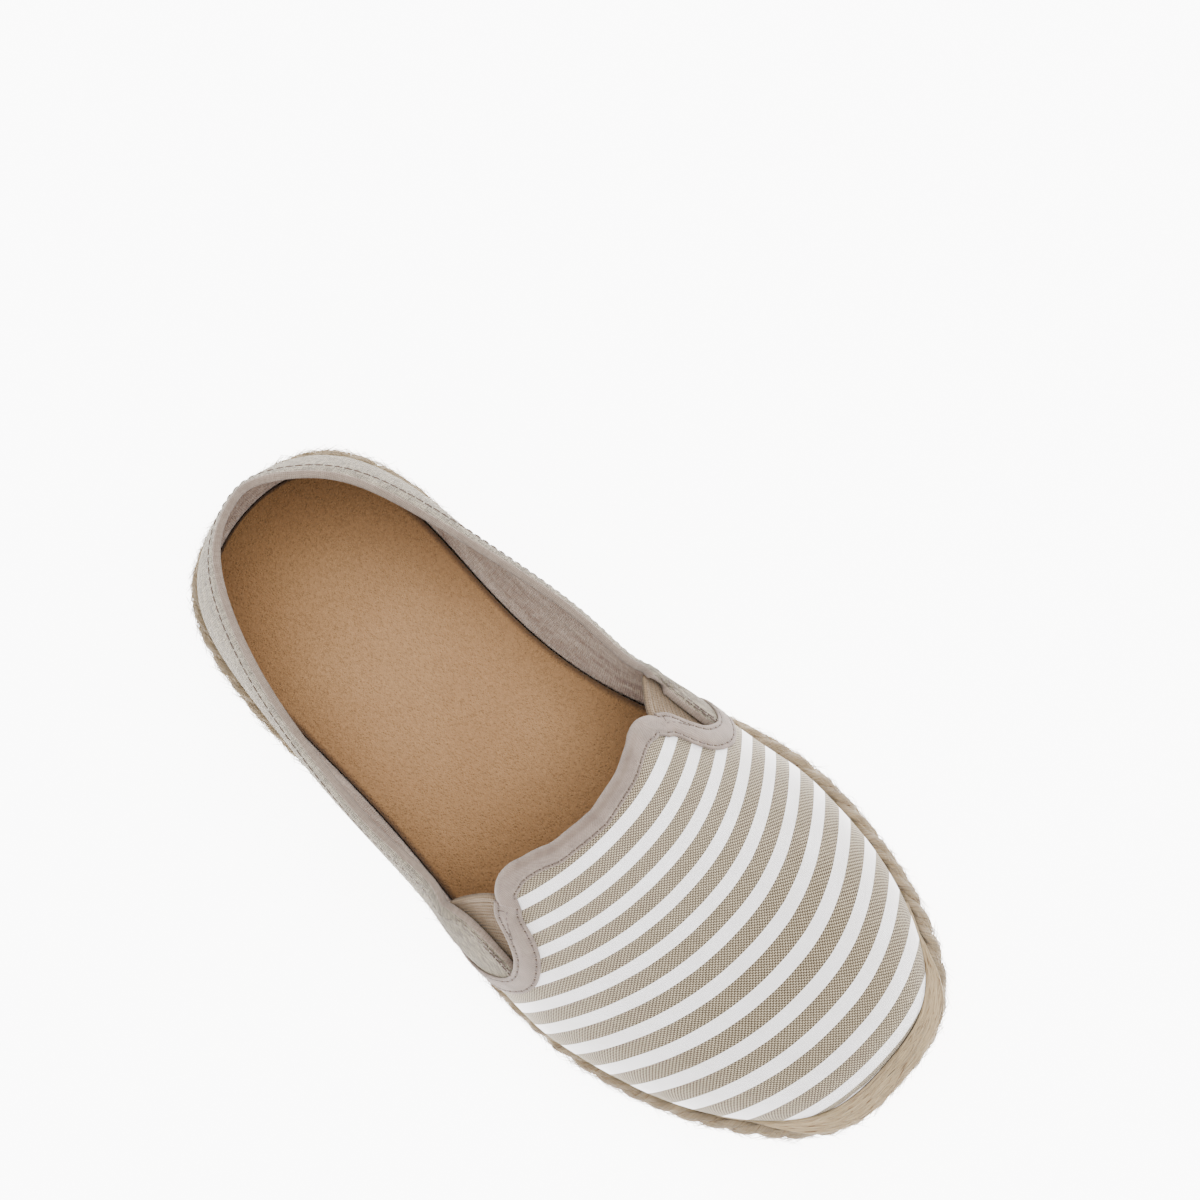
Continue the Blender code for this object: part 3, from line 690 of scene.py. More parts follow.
# %% Twill tape
tape, w, shader, place = start_finish("twill tape", 0.82, 0.2)
ribs = w.group(twill, Place=place, Pitch=0.00052)["Height"]
spots = w.group(mottle, Place=place, Coarse=300.0, Fine=3000.0)
TAPE_DARK = (107, 91, 80)
colour = w.mix(spots["Coarse Mask"], TAPE_DARK, (134, 117, 105))
colour = w.mix(w.spread(ribs, 0.0, 0.7), w.mix(0.9, colour, TAPE_DARK), colour)
end_finish(w, shader, colour, w.math("MULTIPLY_ADD", spots["Fine Mask"], 0.3, ribs), 0.00011)

# %% [markdown]
# ## Jute, insole, rubber and thread
# Jute is long straw-coloured fibre with darker gaps between the strands. The insole is smooth tan
# board with a fine pore. Its edge is dark, partly burnished and partly painted shade in the gap against
# the wall, and painted shade darkens the board away from its middle. Thread is plain and dull, and each
# stitch pulls a small hole, whose shade is painted as a dark disc.

# %% Jute


def jute_finish(name, dark, light, scale, depth):
    finish, w, shader, place = start_finish(name, 0.72, 0.25)
    strands = w.group(fibre, Place=place, Scale=scale)
    spots = w.group(mottle, Place=place, Coarse=90.0, Fine=900.0)
    colour = w.tint(w.mix(strands["Strand"], dark, light), strands["Hair"], 0.5, (188, 170, 138))
    colour = w.tint(colour, spots["Coarse Mask"], 0.25, dark)
    colour = w.mix(strands["Gap"], (92, 68, 40), colour)
    end_finish(w, shader, colour, w.math("MULTIPLY_ADD", strands["Hair"], 0.4, strands["Strand"]), depth)
    return finish


rope_jute = jute_finish("rope jute", (90, 67, 40), (159, 136, 101), 2700.0, 0.00026)
loose_jute = jute_finish("loose jute", (112, 88, 56), (180, 158, 122), 3000.0, 0.00012)

# %% Insole, rubber, thread and hole
insole_tan, w, shader, place = start_finish("tan insole", 0.52, 0.1)
spots = w.group(mottle, Place=place, Coarse=34.0, Fine=1500.0)
pores = w.node("TexVoronoi", {"Vector": place, "Scale": 1900.0})["Distance"]
# The rim map carries two masks: X for the dark edge, Y for painted shade away from the board's middle.
rim = w.split(w.node("UVMap", uv_map="rim")["UV"])
middle_tone = w.mix(spots["Coarse Mask"], (157, 118, 79), (168, 130, 90))
# Painted shade: the board goes darker towards heel, toe and sides.
colour = w.tint(w.mix(rim["Y"], middle_tone, (118, 84, 47)), spots["Fine Mask"], 0.42, (112, 79, 45))
# Dark edge: partly a burnished edge, partly painted shade in the gap against the wall.
colour = w.tint(colour, rim["X"], 0.7, (50, 32, 18))
grain = w.math("MULTIPLY_ADD", spots["Fine Mask"], 0.8, w.spread(pores, 0.0, 0.5))
end_finish(w, shader, colour, grain, 0.00024)

rubber, w, shader, place = start_finish("tan rubber", 0.62)
spots = w.group(mottle, Place=place, Coarse=70.0, Fine=1600.0)
colour = w.mix(spots["Coarse Mask"], (138, 110, 72), (152, 123, 84))
end_finish(w, shader, colour, spots["Fine Mask"], 0.00004)

thread, w, shader, place = start_finish("sewing thread", 0.7, 0.2)
twist = w.group(twill, Place=place, Pitch=0.00025)["Height"]
end_finish(w, shader, w.mix(twist, (64, 52, 43), (102, 86, 75)), twist, 0.00003)

# Painted shade of the needle holes: a dark disc at each end of every stitch, with a little speckle.
needle_hole_shade, w, shader, place = start_finish("needle hole shade", 0.95)
shade_speckle = w.group(mottle, Place=place, Coarse=500.0, Fine=3000.0)["Fine Mask"]
w.feed(shader, {"Base Color": w.mix(shade_speckle, (52, 42, 35), (72, 59, 50))})
print("finishes:", ", ".join(finish.name for finish in bpy.data.materials))

# %% [markdown]
# ## Mesh helpers
# Most pieces here are grids: sections strung one after another. One helper joins rings of points into
# faces, and one makes the object, with a UV map in metres, smooth faces, its finish and its
# ride on the shoe's one body. Ropes, tapes, stitches and hairs are all tubes, so one more joins those.

# %% Mesh helpers


def ring_faces(rings, count, closed_rings, closed_points=True):
    """Quads between neighbouring rings of count points each, as an array of corners."""
    ring = np.arange(rings if closed_rings else rings - 1)[:, None]
    point = np.arange(count if closed_points else count - 1)[None, :]
    here, there = ring * count, (ring + 1) % rings * count
    after = (point + 1) % count
    quads = np.stack([here + point, here + after, there + after, there + point], -1)
    return quads.reshape(-1, 4)


def add_piece(name, points, faces, finishes, cloth, face_finish=None, rim=None):
    """A mesh object from points and faces, riding on the shoe. Maps have a row a point or a corner."""
    mesh = bpy.data.meshes.new(name)
    mesh.from_pydata(points.reshape(-1, 3).tolist(), [], faces)
    corner = np.zeros(len(mesh.loops), int)
    mesh.loops.foreach_get("vertex_index", corner)
    for map_name, values in (("cloth", cloth), ("rim", rim)):
        if values is not None:
            values = values if len(values) == len(corner) else values[corner]
            mesh.uv_layers.new(name=map_name).data.foreach_set("uv", values.astype(np.float32).ravel())
    for finish in finishes:
        mesh.materials.append(finish)
    if face_finish is not None:
        mesh.polygons.foreach_set("material_index", np.asarray(face_finish, np.int32))
    mesh.shade_smooth()
    mesh.validate()
    made = new_object(name, mesh)
    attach(made, "root")
    print(name, len(mesh.polygons), "faces")
    return made


def add_tubes(name, tubes, finishes, closed=False, capped=False):
    """Tubes as one piece. Each is its rings of points, its map and the number of its finish."""
    faces, kinds, base = [], [], 0
    for rings, _, kind in tubes:
        count, sides = rings.shape[:2]
        own = (ring_faces(count, sides, closed) + base).tolist()
        end = base + count * sides
        if capped:
            own += [list(range(base, base + sides))[::-1], list(range(end - sides, end))]
        faces += own
        kinds += [kind] * len(own)
        base = end
    points = np.concatenate([rings.reshape(-1, 3) for rings, _, _ in tubes])
    cloth = np.concatenate([place for _, place, _ in tubes])
    return add_piece(name, points, faces, finishes, cloth, kinds)


def run_lengths(points, axis):
    """Lengths along one axis of a grid of points, from its first row or column."""
    steps = np.linalg.norm(np.diff(points, axis=axis), axis=-1)
    start = np.zeros_like(np.take(steps, [0], axis=axis))
    return np.concatenate([start, np.cumsum(steps, axis=axis)], axis=axis)


# %% [markdown]
# ## The upper
# The upper is one shell, cut from canvas in front and linen behind, with a facing folded in at the collar
# and a lining inside. It is made as columns that run from the sole up the outside, round the free
# edge and down the inside. Columns crowd at the notches, where the edge turns sharply.

# %% The upper's free edge
NOTCH_EDGE = (
    # from_tip, up
    (6.35, 1.000), (6.20, 0.985), (6.05, 0.950), (5.89, 0.880), (5.74, 0.785), (5.605, 0.695),
    (5.50, 0.640), (5.44, 0.625), (5.40, 0.660), (5.393, 0.720), (5.387, 0.780), (5.381, 0.840),
    (5.375, 0.900), (5.36, 0.945), (5.30, 0.975), (5.18, 0.993), (5.02, 1.000),
)
NOTCH_COLUMNS, REAR_COLUMNS, FRONT_COLUMNS = 6, 20, 26
LEVEL_TOP = 0.58
HEM_START = 5.5
HEM_FADE = 0.3
HEM_MARGIN = 0.02
THROAT_TRIM = 0.0016
TRIM_END = 5.38
TRIM_FADE = 0.45
SPEED_STEP = 0.02


def up_speed(place, edge):
    """Metres of cloth for each unit of up, just below the free edge."""
    run = upper_outside(place, edge) - upper_outside(place, edge - SPEED_STEP)
    return np.linalg.norm(run, axis=1) / SPEED_STEP


def trim_at(place):
    return THROAT_TRIM * smooth_step((TRIM_END - from_tip(place)) / TRIM_FADE)


def trimmed(place, up):
    """The throat's free edge, cut back under its tape."""
    return up - trim_at(place) / up_speed(place, up)


notch = table_points(NOTCH_EDGE, NOTCH_COLUMNS)
back, ear = NOTCH_EDGE[0][0], NOTCH_EDGE[-1][0]
rear = np.linspace(back, ROUND - back, round((ROUND - 2 * back) * REAR_COLUMNS))[1:-1]
front = np.linspace(-ear, ear, round(2 * ear * FRONT_COLUMNS))[1:-1]
places = TIP + np.concatenate([notch[::-1, 0], rear, ROUND - notch[:, 0], ROUND + front])
edge = np.concatenate([notch[::-1, 1], np.ones(len(rear)), notch[:, 1], np.ones(len(front))])
edge = trimmed(places, edge)
print("columns:", len(places))

# %% Where the stripes lie
RIDGE_START = -0.012
STRIPE_START = 0.02577
STRIPE_BEND = {"outer": 0.00715, "inner": 0.01262}
BEND_REACH = 0.030
BEND_POWER = 2.13
BEND_MIDDLE = 0.0064

ridge_x = np.linspace(RIDGE_START, SOLE_LENGTH / 2, 1200)
ridge_z = vamp_height(ridge_x, np.full(len(ridge_x), RIDGE), 0.0)
ridge_run = run_lengths(np.stack([ridge_x, ridge_z], 1), 0)


def canvas_place(points):
    """Where a point of the vamp lies on the cut of canvas: along the shoe, then across it."""
    x, y = points[..., 0], points[..., 1]
    bend = np.where(y > BEND_MIDDLE, STRIPE_BEND["inner"], STRIPE_BEND["outer"])
    set_back = bend * (np.abs(y - BEND_MIDDLE) / BEND_REACH) ** BEND_POWER
    along = np.interp(x + set_back, ridge_x, ridge_run) - STRIPE_START
    across_y = RIDGE + (y - RIDGE)[..., None] * np.linspace(0.0, 1.0, 25)
    across_z = vamp_height(np.broadcast_to(x[..., None], across_y.shape), across_y, 0.0)
    arc = np.hypot(np.diff(across_y, axis=-1), np.diff(across_z, axis=-1)).sum(-1)
    below = np.maximum(across_z[..., -1] - points[..., 2], 0.0)
    return np.stack([along, np.sign(y - RIDGE) * (arc + below)], -1)


# %% The shell of the upper
EDGE_ROLL = 0.00045
HEM_PUFF = 0.00010
HEM_RAMP = 0.0006
LINING_EASE = 0.0002
HEM_THIN = 0.35
RAMP_SHARES = (0.0, 0.35, 0.65, 1.0)
OUTSIDE_STEPS, INSIDE_STEPS = (26, 16, 10), (12, 18)
TURN_STEPS = 8
FACING_ROWS = 8
columns = len(places)
flat = np.zeros(columns)
speed = up_speed(places, edge)
hem = np.maximum(edge - HEM_WIDTH / speed, LEVEL_TOP + HEM_MARGIN)
collar = smooth_step((from_tip(places) - HEM_START) / HEM_FADE)
hemmed = HEM_STEP * collar
ramp = HEM_RAMP / speed
rows = [(flat + up, flat) for up in np.linspace(0.0, LEVEL_TOP, OUTSIDE_STEPS[0])]
rows += [(LEVEL_TOP + (hem - LEVEL_TOP) * share, flat)
         for share in np.linspace(0.0, 1.0, OUTSIDE_STEPS[1])[1:-1]]
rows += [(hem + ramp * (2 * share - 1), hemmed * smooth_step(share)) for share in RAMP_SHARES]
for share in np.linspace(0.0, 1.0, OUTSIDE_STEPS[2])[1:]:
    puff = HEM_PUFF * collar * math.sin(math.pi * share)
    rows.append((hem + ramp + (edge - hem - ramp) * share, hemmed * (1 - HEM_THIN * share**3) + puff))
outside_rows = len(rows)
shell = [upper_point(places, up, offset) for up, offset in rows]

rim_point, rim_normal = upper_point(places, edge, 0.0), upper_normal(places, edge)
rim_out = unit(np.cross(rim_normal, np.roll(rim_point, -1, axis=0) - np.roll(rim_point, 1, axis=0)))
upward = rim_point - upper_point(places, edge - SPEED_STEP, 0.0)
rim_out *= np.sign(np.sum(rim_out * upward, axis=1, keepdims=True))
outer_face = hemmed * (1 - HEM_THIN)
for turn in np.linspace(0.0, math.pi, TURN_STEPS)[1:-1]:
    stand = (outer_face - WALL) / 2 + (outer_face + WALL) / 2 * math.cos(turn)
    roll = EDGE_ROLL * collar * math.sin(turn)
    shell.append(rim_point + rim_normal * stand[:, None] + rim_out * roll[:, None])
facing_end = len(shell) + FACING_ROWS - 1

eased_face = LINING_EASE * collar - WALL
inside = [(edge + (hem - edge) * share, flat - WALL) for share in np.linspace(0.0, 1.0, FACING_ROWS)]
inside += [(LEVEL_TOP + (hem - LEVEL_TOP) * share, eased_face)
           for share in np.linspace(1.0, 0.0, INSIDE_STEPS[0])[1:]]
inside += [(flat + up, eased_face) for up in np.linspace(LEVEL_TOP, 0.0, INSIDE_STEPS[1])[1:]]
shell = np.stack(shell + [upper_point(places, up, offset) for up, offset in inside])
print("upper:", len(shell), "rows of", columns, "columns")

# %% Its cloth, laid out
SEAM = (
    # up, from_tip where canvas meets linen under the tape
    (0.000, 6.85), (0.055, 6.76), (0.157, 6.59), (0.262, 6.35), (0.352, 6.075),
    (0.430, 5.83), (0.507, 5.645), (0.572, 5.48), (0.622, 5.42), (1.000, 5.40),
)
LEVEL_ROW = 14
quarter_v = run_lengths(shell, 0)
quarter_u = run_lengths(shell[LEVEL_ROW:LEVEL_ROW + 1], 1)
quarter_map = np.stack([np.broadcast_to(quarter_u, quarter_v.shape), quarter_v], -1)
quads = ring_faces(len(shell), columns, True)
row, column = quads[:, 0] // columns, quads[:, 0] % columns
quad_up = np.stack([up for up, _ in rows])[np.minimum(row, outside_rows - 1), column]
is_vamp = from_tip(places)[column] < np.interp(quad_up, *np.array(SEAM).T)
kind = np.full(len(quads), 1)
kind[(row < outside_rows - 1) & is_vamp] = 0
kind[(row >= outside_rows - 1) & (row < facing_end)] = 2
kind[(row >= facing_end) & (row < len(shell) - 1)] = 3
maps = [whole.reshape(-1, 2)[quads] for whole in (canvas_place(shell), quarter_map)]
corner_map = np.where((kind == 0)[:, None, None], *maps).reshape(-1, 2)
upper = add_piece("upper_cloth", shell, quads.tolist(), (canvas, linen, hem_cloth, lining),
                  corner_map, kind)
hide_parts("upper")

# %% [markdown]
# ## Stitches
# A row of stitches is a chain of short threads that dive into the cloth at both ends. Each one is a thin
# tube that tapers at its ends, laid along the seam at the machine's pitch, with a small dark disc at
# each end as painted shade of the needle hole. All stitches of a row are one mesh.

# %% Stitches
STITCH_PITCH = 0.0018
STITCH_LENGTH = 0.0011
THREAD_RADIUS = 0.00018
HOLE_RADIUS = 0.00024
HOLE_SPAN = np.array([[-0.00003], [0.00006]])
STITCH_SIDES = 8
THREAD_ROUND = 0.001
DIVE = 0.9
HOLE_TAPER = 0.7
HOLE_LEAN = 300


def circle(sides):
    return np.linspace(0, 2 * math.pi, sides, endpoint=False)


def spokes(side, top, sides):
    """Directions round each point of a line, from two that are square to it."""
    angle = circle(sides)[:, None]
    return side[:, None] * np.cos(angle) + np.broadcast_to(top, side.shape)[:, None] * np.sin(angle)


def tube(points, radii, sides, up):
    """Rings round a line of points; up is a direction roughly square to the line."""
    run = unit(np.gradient(points, axis=0))
    side = unit(np.cross(run, up))
    return points[:, None] + spokes(side, np.cross(side, run), sides) * np.reshape(radii, (-1, 1, 1))


def stitch_row(name, spots, offset, pitch=STITCH_PITCH, length=STITCH_LENGTH):
    """Stitches along a line of spots on the upper, each a place and an up, as one piece."""
    points, normals = upper_point(*spots.T, offset), upper_normal(*spots.T)
    run = run_lengths(points, 0)
    count = max(1, round(run[-1] / pitch))
    share = np.linspace(-1.0, 1.0, 9)
    lift = -DIVE * THREAD_RADIUS * np.abs(share) ** 3
    taper = THREAD_RADIUS * np.sqrt(np.clip(1 - np.abs(share) ** 6, 0.05, 1.0))
    around = np.arange(STITCH_SIDES) / STITCH_SIDES * THREAD_ROUND
    tubes = []
    for middle in (np.arange(count) + 0.5) * run[-1] / count:
        at = middle + share * length / 2
        line, normal = (np.stack([np.interp(at, run, column) for column in values.T], 1)
                        for values in (points, normals))
        normal = unit(normal)
        place = np.stack([np.repeat(at, STITCH_SIDES), np.tile(around, len(share))], 1)
        tubes.append((tube(line + normal * lift[:, None], taper, STITCH_SIDES, normal), place, 0))
        # At each end a dark disc, painted shade of the needle hole.
        for end in (0, -1):
            up = normal[end] + (line[-1] - line[0]) * HOLE_LEAN
            radii = (HOLE_RADIUS, HOLE_RADIUS * HOLE_TAPER)
            hole = tube(line[end] + normal[end] * HOLE_SPAN, radii, STITCH_SIDES, up)
            tubes.append((hole, np.full((2 * STITCH_SIDES, 2), middle), 1))
    return add_tubes(name, tubes, (thread, needle_hole_shade), capped=True)


# %% The collar's stitches
COLLAR_STITCH = 0.0032
TONGUE_STITCH = 0.0011
TONGUE_END = 6.05
STITCH_SINK = 0.00002
TONGUE_START, TONGUE_FADE = 6.9, 1.1
TONGUE_RISE = 0.2
PROUD, PROUD_START, PROUD_FADE = 0.00013, 7.8, 1.5
keep = (places > TIP + HEM_START) & (places < TIP + ROUND - HEM_START)
seam_place, seam_edge, seam_speed = places[keep], edge[keep], speed[keep]


def below_edge(drop):
    return np.stack([seam_place, seam_edge - drop / seam_speed], 1)


tongue = smooth_step((TONGUE_START - from_tip(seam_place)) / TONGUE_FADE)
proud = PROUD * smooth_step((from_tip(seam_place) - PROUD_START) / PROUD_FADE)
seam_drop = COLLAR_STITCH * (1 - TONGUE_RISE * tongue)
stitch_row("collar_stitches", below_edge(seam_drop), HEM_STEP - STITCH_SINK + proud)
tongues = {"outer": seam_place > TIP + ROUND - TONGUE_END, "inner": seam_place < TIP + TONGUE_END}
for side, near in tongues.items():
    stitch_row(f"tongue_stitches_{side}", below_edge(TONGUE_STITCH)[near], HEM_STEP - 2 * STITCH_SINK)

# %% [markdown]
# ## Tapes
# A folded twill tape binds the throat, and another runs from each ear of the vamp round the quarter's tip
# and down to the sole. A tape is a strip with soft edges, pressed in where it is sewn. The throat's
# tape turns over the raw edge and comes back inside.

# %% Tapes
GORE_BAND = (
    # edge_from_tip, edge_up, seam_from_tip, seam_up
    (5.46, 0.925, 5.235, 0.888), (5.49, 0.890, 5.200, 0.862), (5.48, 0.850, 5.160, 0.832),
    (5.45, 0.805, 5.120, 0.800), (5.43, 0.755, 5.090, 0.765), (5.43, 0.710, 5.080, 0.725),
    (5.47, 0.665, 5.120, 0.675), (5.53, 0.620, 5.200, 0.625), (5.63, 0.570, 5.330, 0.575),
    (5.79, 0.515, 5.500, 0.500), (5.97, 0.460, 5.690, 0.405), (6.22, 0.395, 5.930, 0.310),
    (6.50, 0.310, 6.200, 0.215), (6.75, 0.190, 6.430, 0.125), (6.92, 0.060, 6.600, 0.050),
)
THROAT_BAND = (
    # edge_from_tip, edge_up, seam_from_tip, seam_up
    (5.367, 0.925, 5.205, 0.893), (5.36, 0.945, 5.190, 0.904), (5.30, 0.975, 5.160, 0.917),
    (5.18, 0.993, 5.090, 0.929), (5.02, 1.000, 4.970, 0.938), (4.60, 1.000, 4.600, 0.949),
    (4.00, 1.000, 4.000, 0.959), (3.00, 1.000, 3.000, 0.965), (1.50, 1.000, 1.500, 0.969),
    (0.00, 1.000, 0.000, 0.970),
)
BAND_POINTS = 8
SEW_DENT = 0.00016
SEW_WIDTH = 0.0005
EDGE_SOFT = 0.0004
EDGE_DROP = 0.85
TAPE_SIT = 0.00005
TAPE_TOP = TAPE_SIT + BINDING_THICK
SIDES = (("outer", -1), ("inner", 1))


def longer(rows, share):
    """A tape's table with its first row moved on, so that two tapes meet without a gap."""
    first, second = np.array(rows[0]), np.array(rows[1])
    return [tuple(first + (first - second) * share), *rows[1:]]


def across_band(rows, width, share):
    """Points a share of the tape's width in from its edge, as place and up."""
    edge_side, seam_side = rows[:, :2], rows[:, 2:]
    chord = upper_outside(*seam_side.T) - upper_outside(*edge_side.T)
    scale = width / np.linalg.norm(chord, axis=1, keepdims=True)
    return edge_side + (seam_side - edge_side) * scale * share


def band_face(rows, width, share, offset):
    return upper_point(*across_band(rows, width, share).T, offset)


def tape_height(share, width, seams):
    """The tape's face over the cloth: soft at its edges, pressed in along its seams."""
    inside = min(share, 1 - share) * width
    height = BINDING_THICK * math.sqrt(1 - max(0.0, 1 - inside / EDGE_SOFT) ** 2 * EDGE_DROP)
    return height - sum(SEW_DENT * math.exp(-(((share * width - seam) / SEW_WIDTH) ** 2)) for seam in seams)


def close_strip(name, sections, finish):
    """A closed strip from its sections, laid out in metres."""
    along, around = run_lengths(sections, 0).mean(axis=1), run_lengths(sections, 1)
    place = np.stack([np.broadcast_to(along[:, None], around.shape), around], -1)
    return add_tubes(name, [(sections, place.reshape(-1, 2), 0)], (finish,), capped=True)


# %% The gores' tapes
GORE_SEAMS = (0.0009, GORE_BINDING_WIDTH - 0.0009)
BAR_ROWS = (5, 27)
BAR_SHARES = (0.17, 0.48, 0.22)
BAR_TURN = 4
BAR_PITCH, BAR_LENGTH = 0.0014, 0.00119
GORE_OVERLAP = 0.35
TAPE_POINTS = 27
for side_name, side in SIDES:
    band_rows = table_points(longer(GORE_BAND, GORE_OVERLAP), BAND_POINTS)
    band_rows = band_rows * [side, 1, side, 1] + [TIP, 0, TIP, 0]
    shares = np.linspace(0.0, 1.0, TAPE_POINTS)
    corners = []
    for share in shares:
        lift = TAPE_SIT + tape_height(share, GORE_BINDING_WIDTH, GORE_SEAMS)
        corners.append(band_face(band_rows, GORE_BINDING_WIDTH, share, lift))
    for share in shares[::-1][1:-1:3]:
        corners.append(band_face(band_rows, GORE_BINDING_WIDTH, share, TAPE_SIT))
    band = close_strip(f"gore_tape_{side_name}", np.stack(corners, 1), tape)
    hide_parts(f"gore_binding_{side_name}")
    for number, seam in enumerate(GORE_SEAMS, 1):
        spots = across_band(band_rows, GORE_BINDING_WIDTH, seam / GORE_BINDING_WIDTH)
        stitch_row(f"gore_stitches_{side_name}_{number}", spots, TAPE_TOP - SEW_DENT)
    ear_rows = band_rows[[BAR_ROWS[0]] * BAR_TURN + list(range(*BAR_ROWS))]
    down = np.linspace(BAR_SHARES[0], BAR_SHARES[1], BAR_TURN)
    back = np.linspace(BAR_SHARES[1], BAR_SHARES[2], BAR_ROWS[1] - BAR_ROWS[0])
    spots = across_band(ear_rows, GORE_BINDING_WIDTH, np.concatenate([down, back])[:, None])
    stitch_row(f"ear_bar_{side_name}", spots, TAPE_TOP - SEW_DENT / 2, BAR_PITCH, BAR_LENGTH)

# %% The throat's tape
SEAM_IN = 0.0007
EAR_NARROW = 0.0008
EAR_START, EAR_FADE = 5.2, 0.15
TAPE_INSIDE = 0.7
INSIDE_THIN = 0.8
THROAT_OVERLAP = 0.6
SEAM_ENDS = 10
half = table_points(longer(THROAT_BAND, THROAT_OVERLAP), BAND_POINTS)
throat_rows = np.concatenate([half * [-1, 1, -1, 1], half[-2::-1]]) + [TIP, 0, TIP, 0]
at_ear = smooth_step((from_tip(throat_rows[:, 0]) - EAR_START) / EAR_FADE)
throat_width = (THROAT_BINDING_WIDTH - trim_at(throat_rows[:, 0]) - EAR_NARROW * at_ear)[:, None]
throat_rows[:, 1] = trimmed(*throat_rows[:, :2].T)


def throat_face(share, offset):
    return band_face(throat_rows, throat_width, share, offset)


throat_edge, throat_normal = throat_face(0.0, 0.0), upper_normal(*throat_rows[:, :2].T)
over = throat_edge - throat_face(0.2, 0.0)
over = unit(over - throat_normal * np.sum(over * throat_normal, axis=1, keepdims=True))


def throat_turn(reach):
    """The tape's way round the raw edge, at a distance from the cloth's two faces."""
    size = WALL / 2 + reach
    return [throat_edge + throat_normal * (size * math.cos(angle) - WALL / 2) + over * size * math.sin(angle)
            for angle in np.linspace(0.0, math.pi, 13)]


corners = []
for share in np.linspace(1.0, 0.0, 20)[:-1]:
    height = tape_height(share, float(throat_width.mean()), ()) if share > 0.5 else BINDING_THICK
    from_seam = throat_width[:, 0] * (1 - share) - SEAM_IN
    corners.append(throat_face(share, TAPE_SIT + height - SEW_DENT * np.exp(-((from_seam / SEW_WIDTH) ** 2))))
corners += throat_turn(TAPE_TOP)
for share in np.linspace(0.0, TAPE_INSIDE, 8)[1:]:
    thick = BINDING_THICK * (1 - INSIDE_THIN * (share / TAPE_INSIDE) ** 6)
    corners.append(throat_face(share, -WALL - TAPE_SIT - thick))
corners += [throat_face(share, -WALL - TAPE_SIT) for share in np.linspace(TAPE_INSIDE, 0.0, 5)[1:-1]]
corners += throat_turn(TAPE_SIT)[::-3]
corners += [throat_face(share, TAPE_SIT) for share in np.linspace(0.0, 1.0, 6)[1:-1]]
throat_tape = close_strip("throat_tape", np.stack(corners, 1), tape)
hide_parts("throat_binding")
spots = across_band(throat_rows, throat_width, 1 - SEAM_IN / throat_width)[SEAM_ENDS:-SEAM_ENDS]
stitch_row("throat_stitches", spots, TAPE_TOP - SEW_DENT)

# %% [markdown]
# ## Gores
# Each gore is a piece of elastic webbing sewn behind the notch. Its ribs run level with its top edge, a
# little under 0.8 mm apart, and they are deep enough to catch light, so they are modelled. The
# top edge is folded over to a narrow hem.

# %% Gores
GORE_CLOTH = (
    # from_tip, low_up, high_up
    (6.50, 0.60, 0.930), (6.26, 0.58, 0.965), (6.10, 0.56, 0.980), (5.90, 0.54, 0.975),
    (5.70, 0.53, 0.962), (5.52, 0.52, 0.940), (5.42, 0.51, 0.915), (5.30, 0.50, 0.880),
    (5.18, 0.50, 0.845),
)
RIB_PITCH = 0.00078
RIB_DEPTH = 0.00022
GORE_HEM = 0.0012
GORE_LIP = 0.0003
GORE_EASE = 120
GORE_POINTS, RIB_POINTS = 7, 4
GORE_THIN, GORE_TOUCH = 0.6, 0.0001
HEM_STAND = 1.4
LET_IN_START, LET_IN_FADE = 6.15, 0.35


def eased(rows):
    """Rows of points smoothed from end to end, with their two ends kept."""
    points = np.stack(rows)
    for _ in range(GORE_EASE):
        points[:, 1:-1] = (points[:, :-2] + 2 * points[:, 1:-1] + points[:, 2:]) / 4
    return points


for side_name, side in SIDES:
    gore_from_tip, low, high = table_points(GORE_CLOTH, GORE_POINTS).T
    gore_place = TIP + side * gore_from_tip
    height = np.linalg.norm(upper_outside(gore_place, high) - upper_outside(gore_place, low), axis=1)
    let_in = smooth_step((gore_from_tip - LET_IN_START) / LET_IN_FADE)
    sunk = WALL + GORE_CLEAR - (GORE_CLEAR + GORE_TOUCH) * let_in
    thick = GORE_THICK * (1 - GORE_THIN * let_in)
    front, back = [], []
    for down in np.arange(0.0, height.max(), RIB_PITCH / RIB_POINTS):
        up = high + (low - high) * np.clip(down / height, 0.0, 1.0)
        rib = RIB_DEPTH * (abs(math.sin(math.pi * down / RIB_PITCH)) if down > GORE_HEM else HEM_STAND)
        lip = thick / 2 * max(0.0, 1 - down / GORE_LIP)
        front.append(upper_point(gore_place, up, rib - sunk - RIB_DEPTH - lip))
        back.append(upper_point(gore_place, up, lip - sunk - thick - rib))
    sections = np.concatenate([eased(front), eased(back)[::-1]]).transpose(1, 0, 2)
    gore = close_strip(f"gore_webbing_{side_name}", sections, webbing)
    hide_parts(f"gore_{side_name}")

# %% [markdown]
# ## Flat layers of the sole
# Insole, rope core and outsole have the same plan, so one helper makes a layer: strips from side to side
# between two heights, with a bevelled rim. The outsole's tread is a fine wave cut upward into the rubber, so
# that the sole still stands on its flat spots.

# %% A layer of the sole
STATIONS = np.concatenate([[0.03], np.linspace(0.1, TIP - 0.1, 300), [TIP - 0.03]])
ALL_ROUND = np.concatenate([STATIONS, ROUND - STATIONS[::-1]])
# Painted shade on the insole: lighter round this middle, darker towards heel, toe and sides.
UNSHADED_MIDDLE = (-0.031, 0.002)
SHADE_REACH = (0.046, 0.036)
SHADE_START, SHADE_FADE = 0.25, 0.95
BEVEL_TURN = 0.3


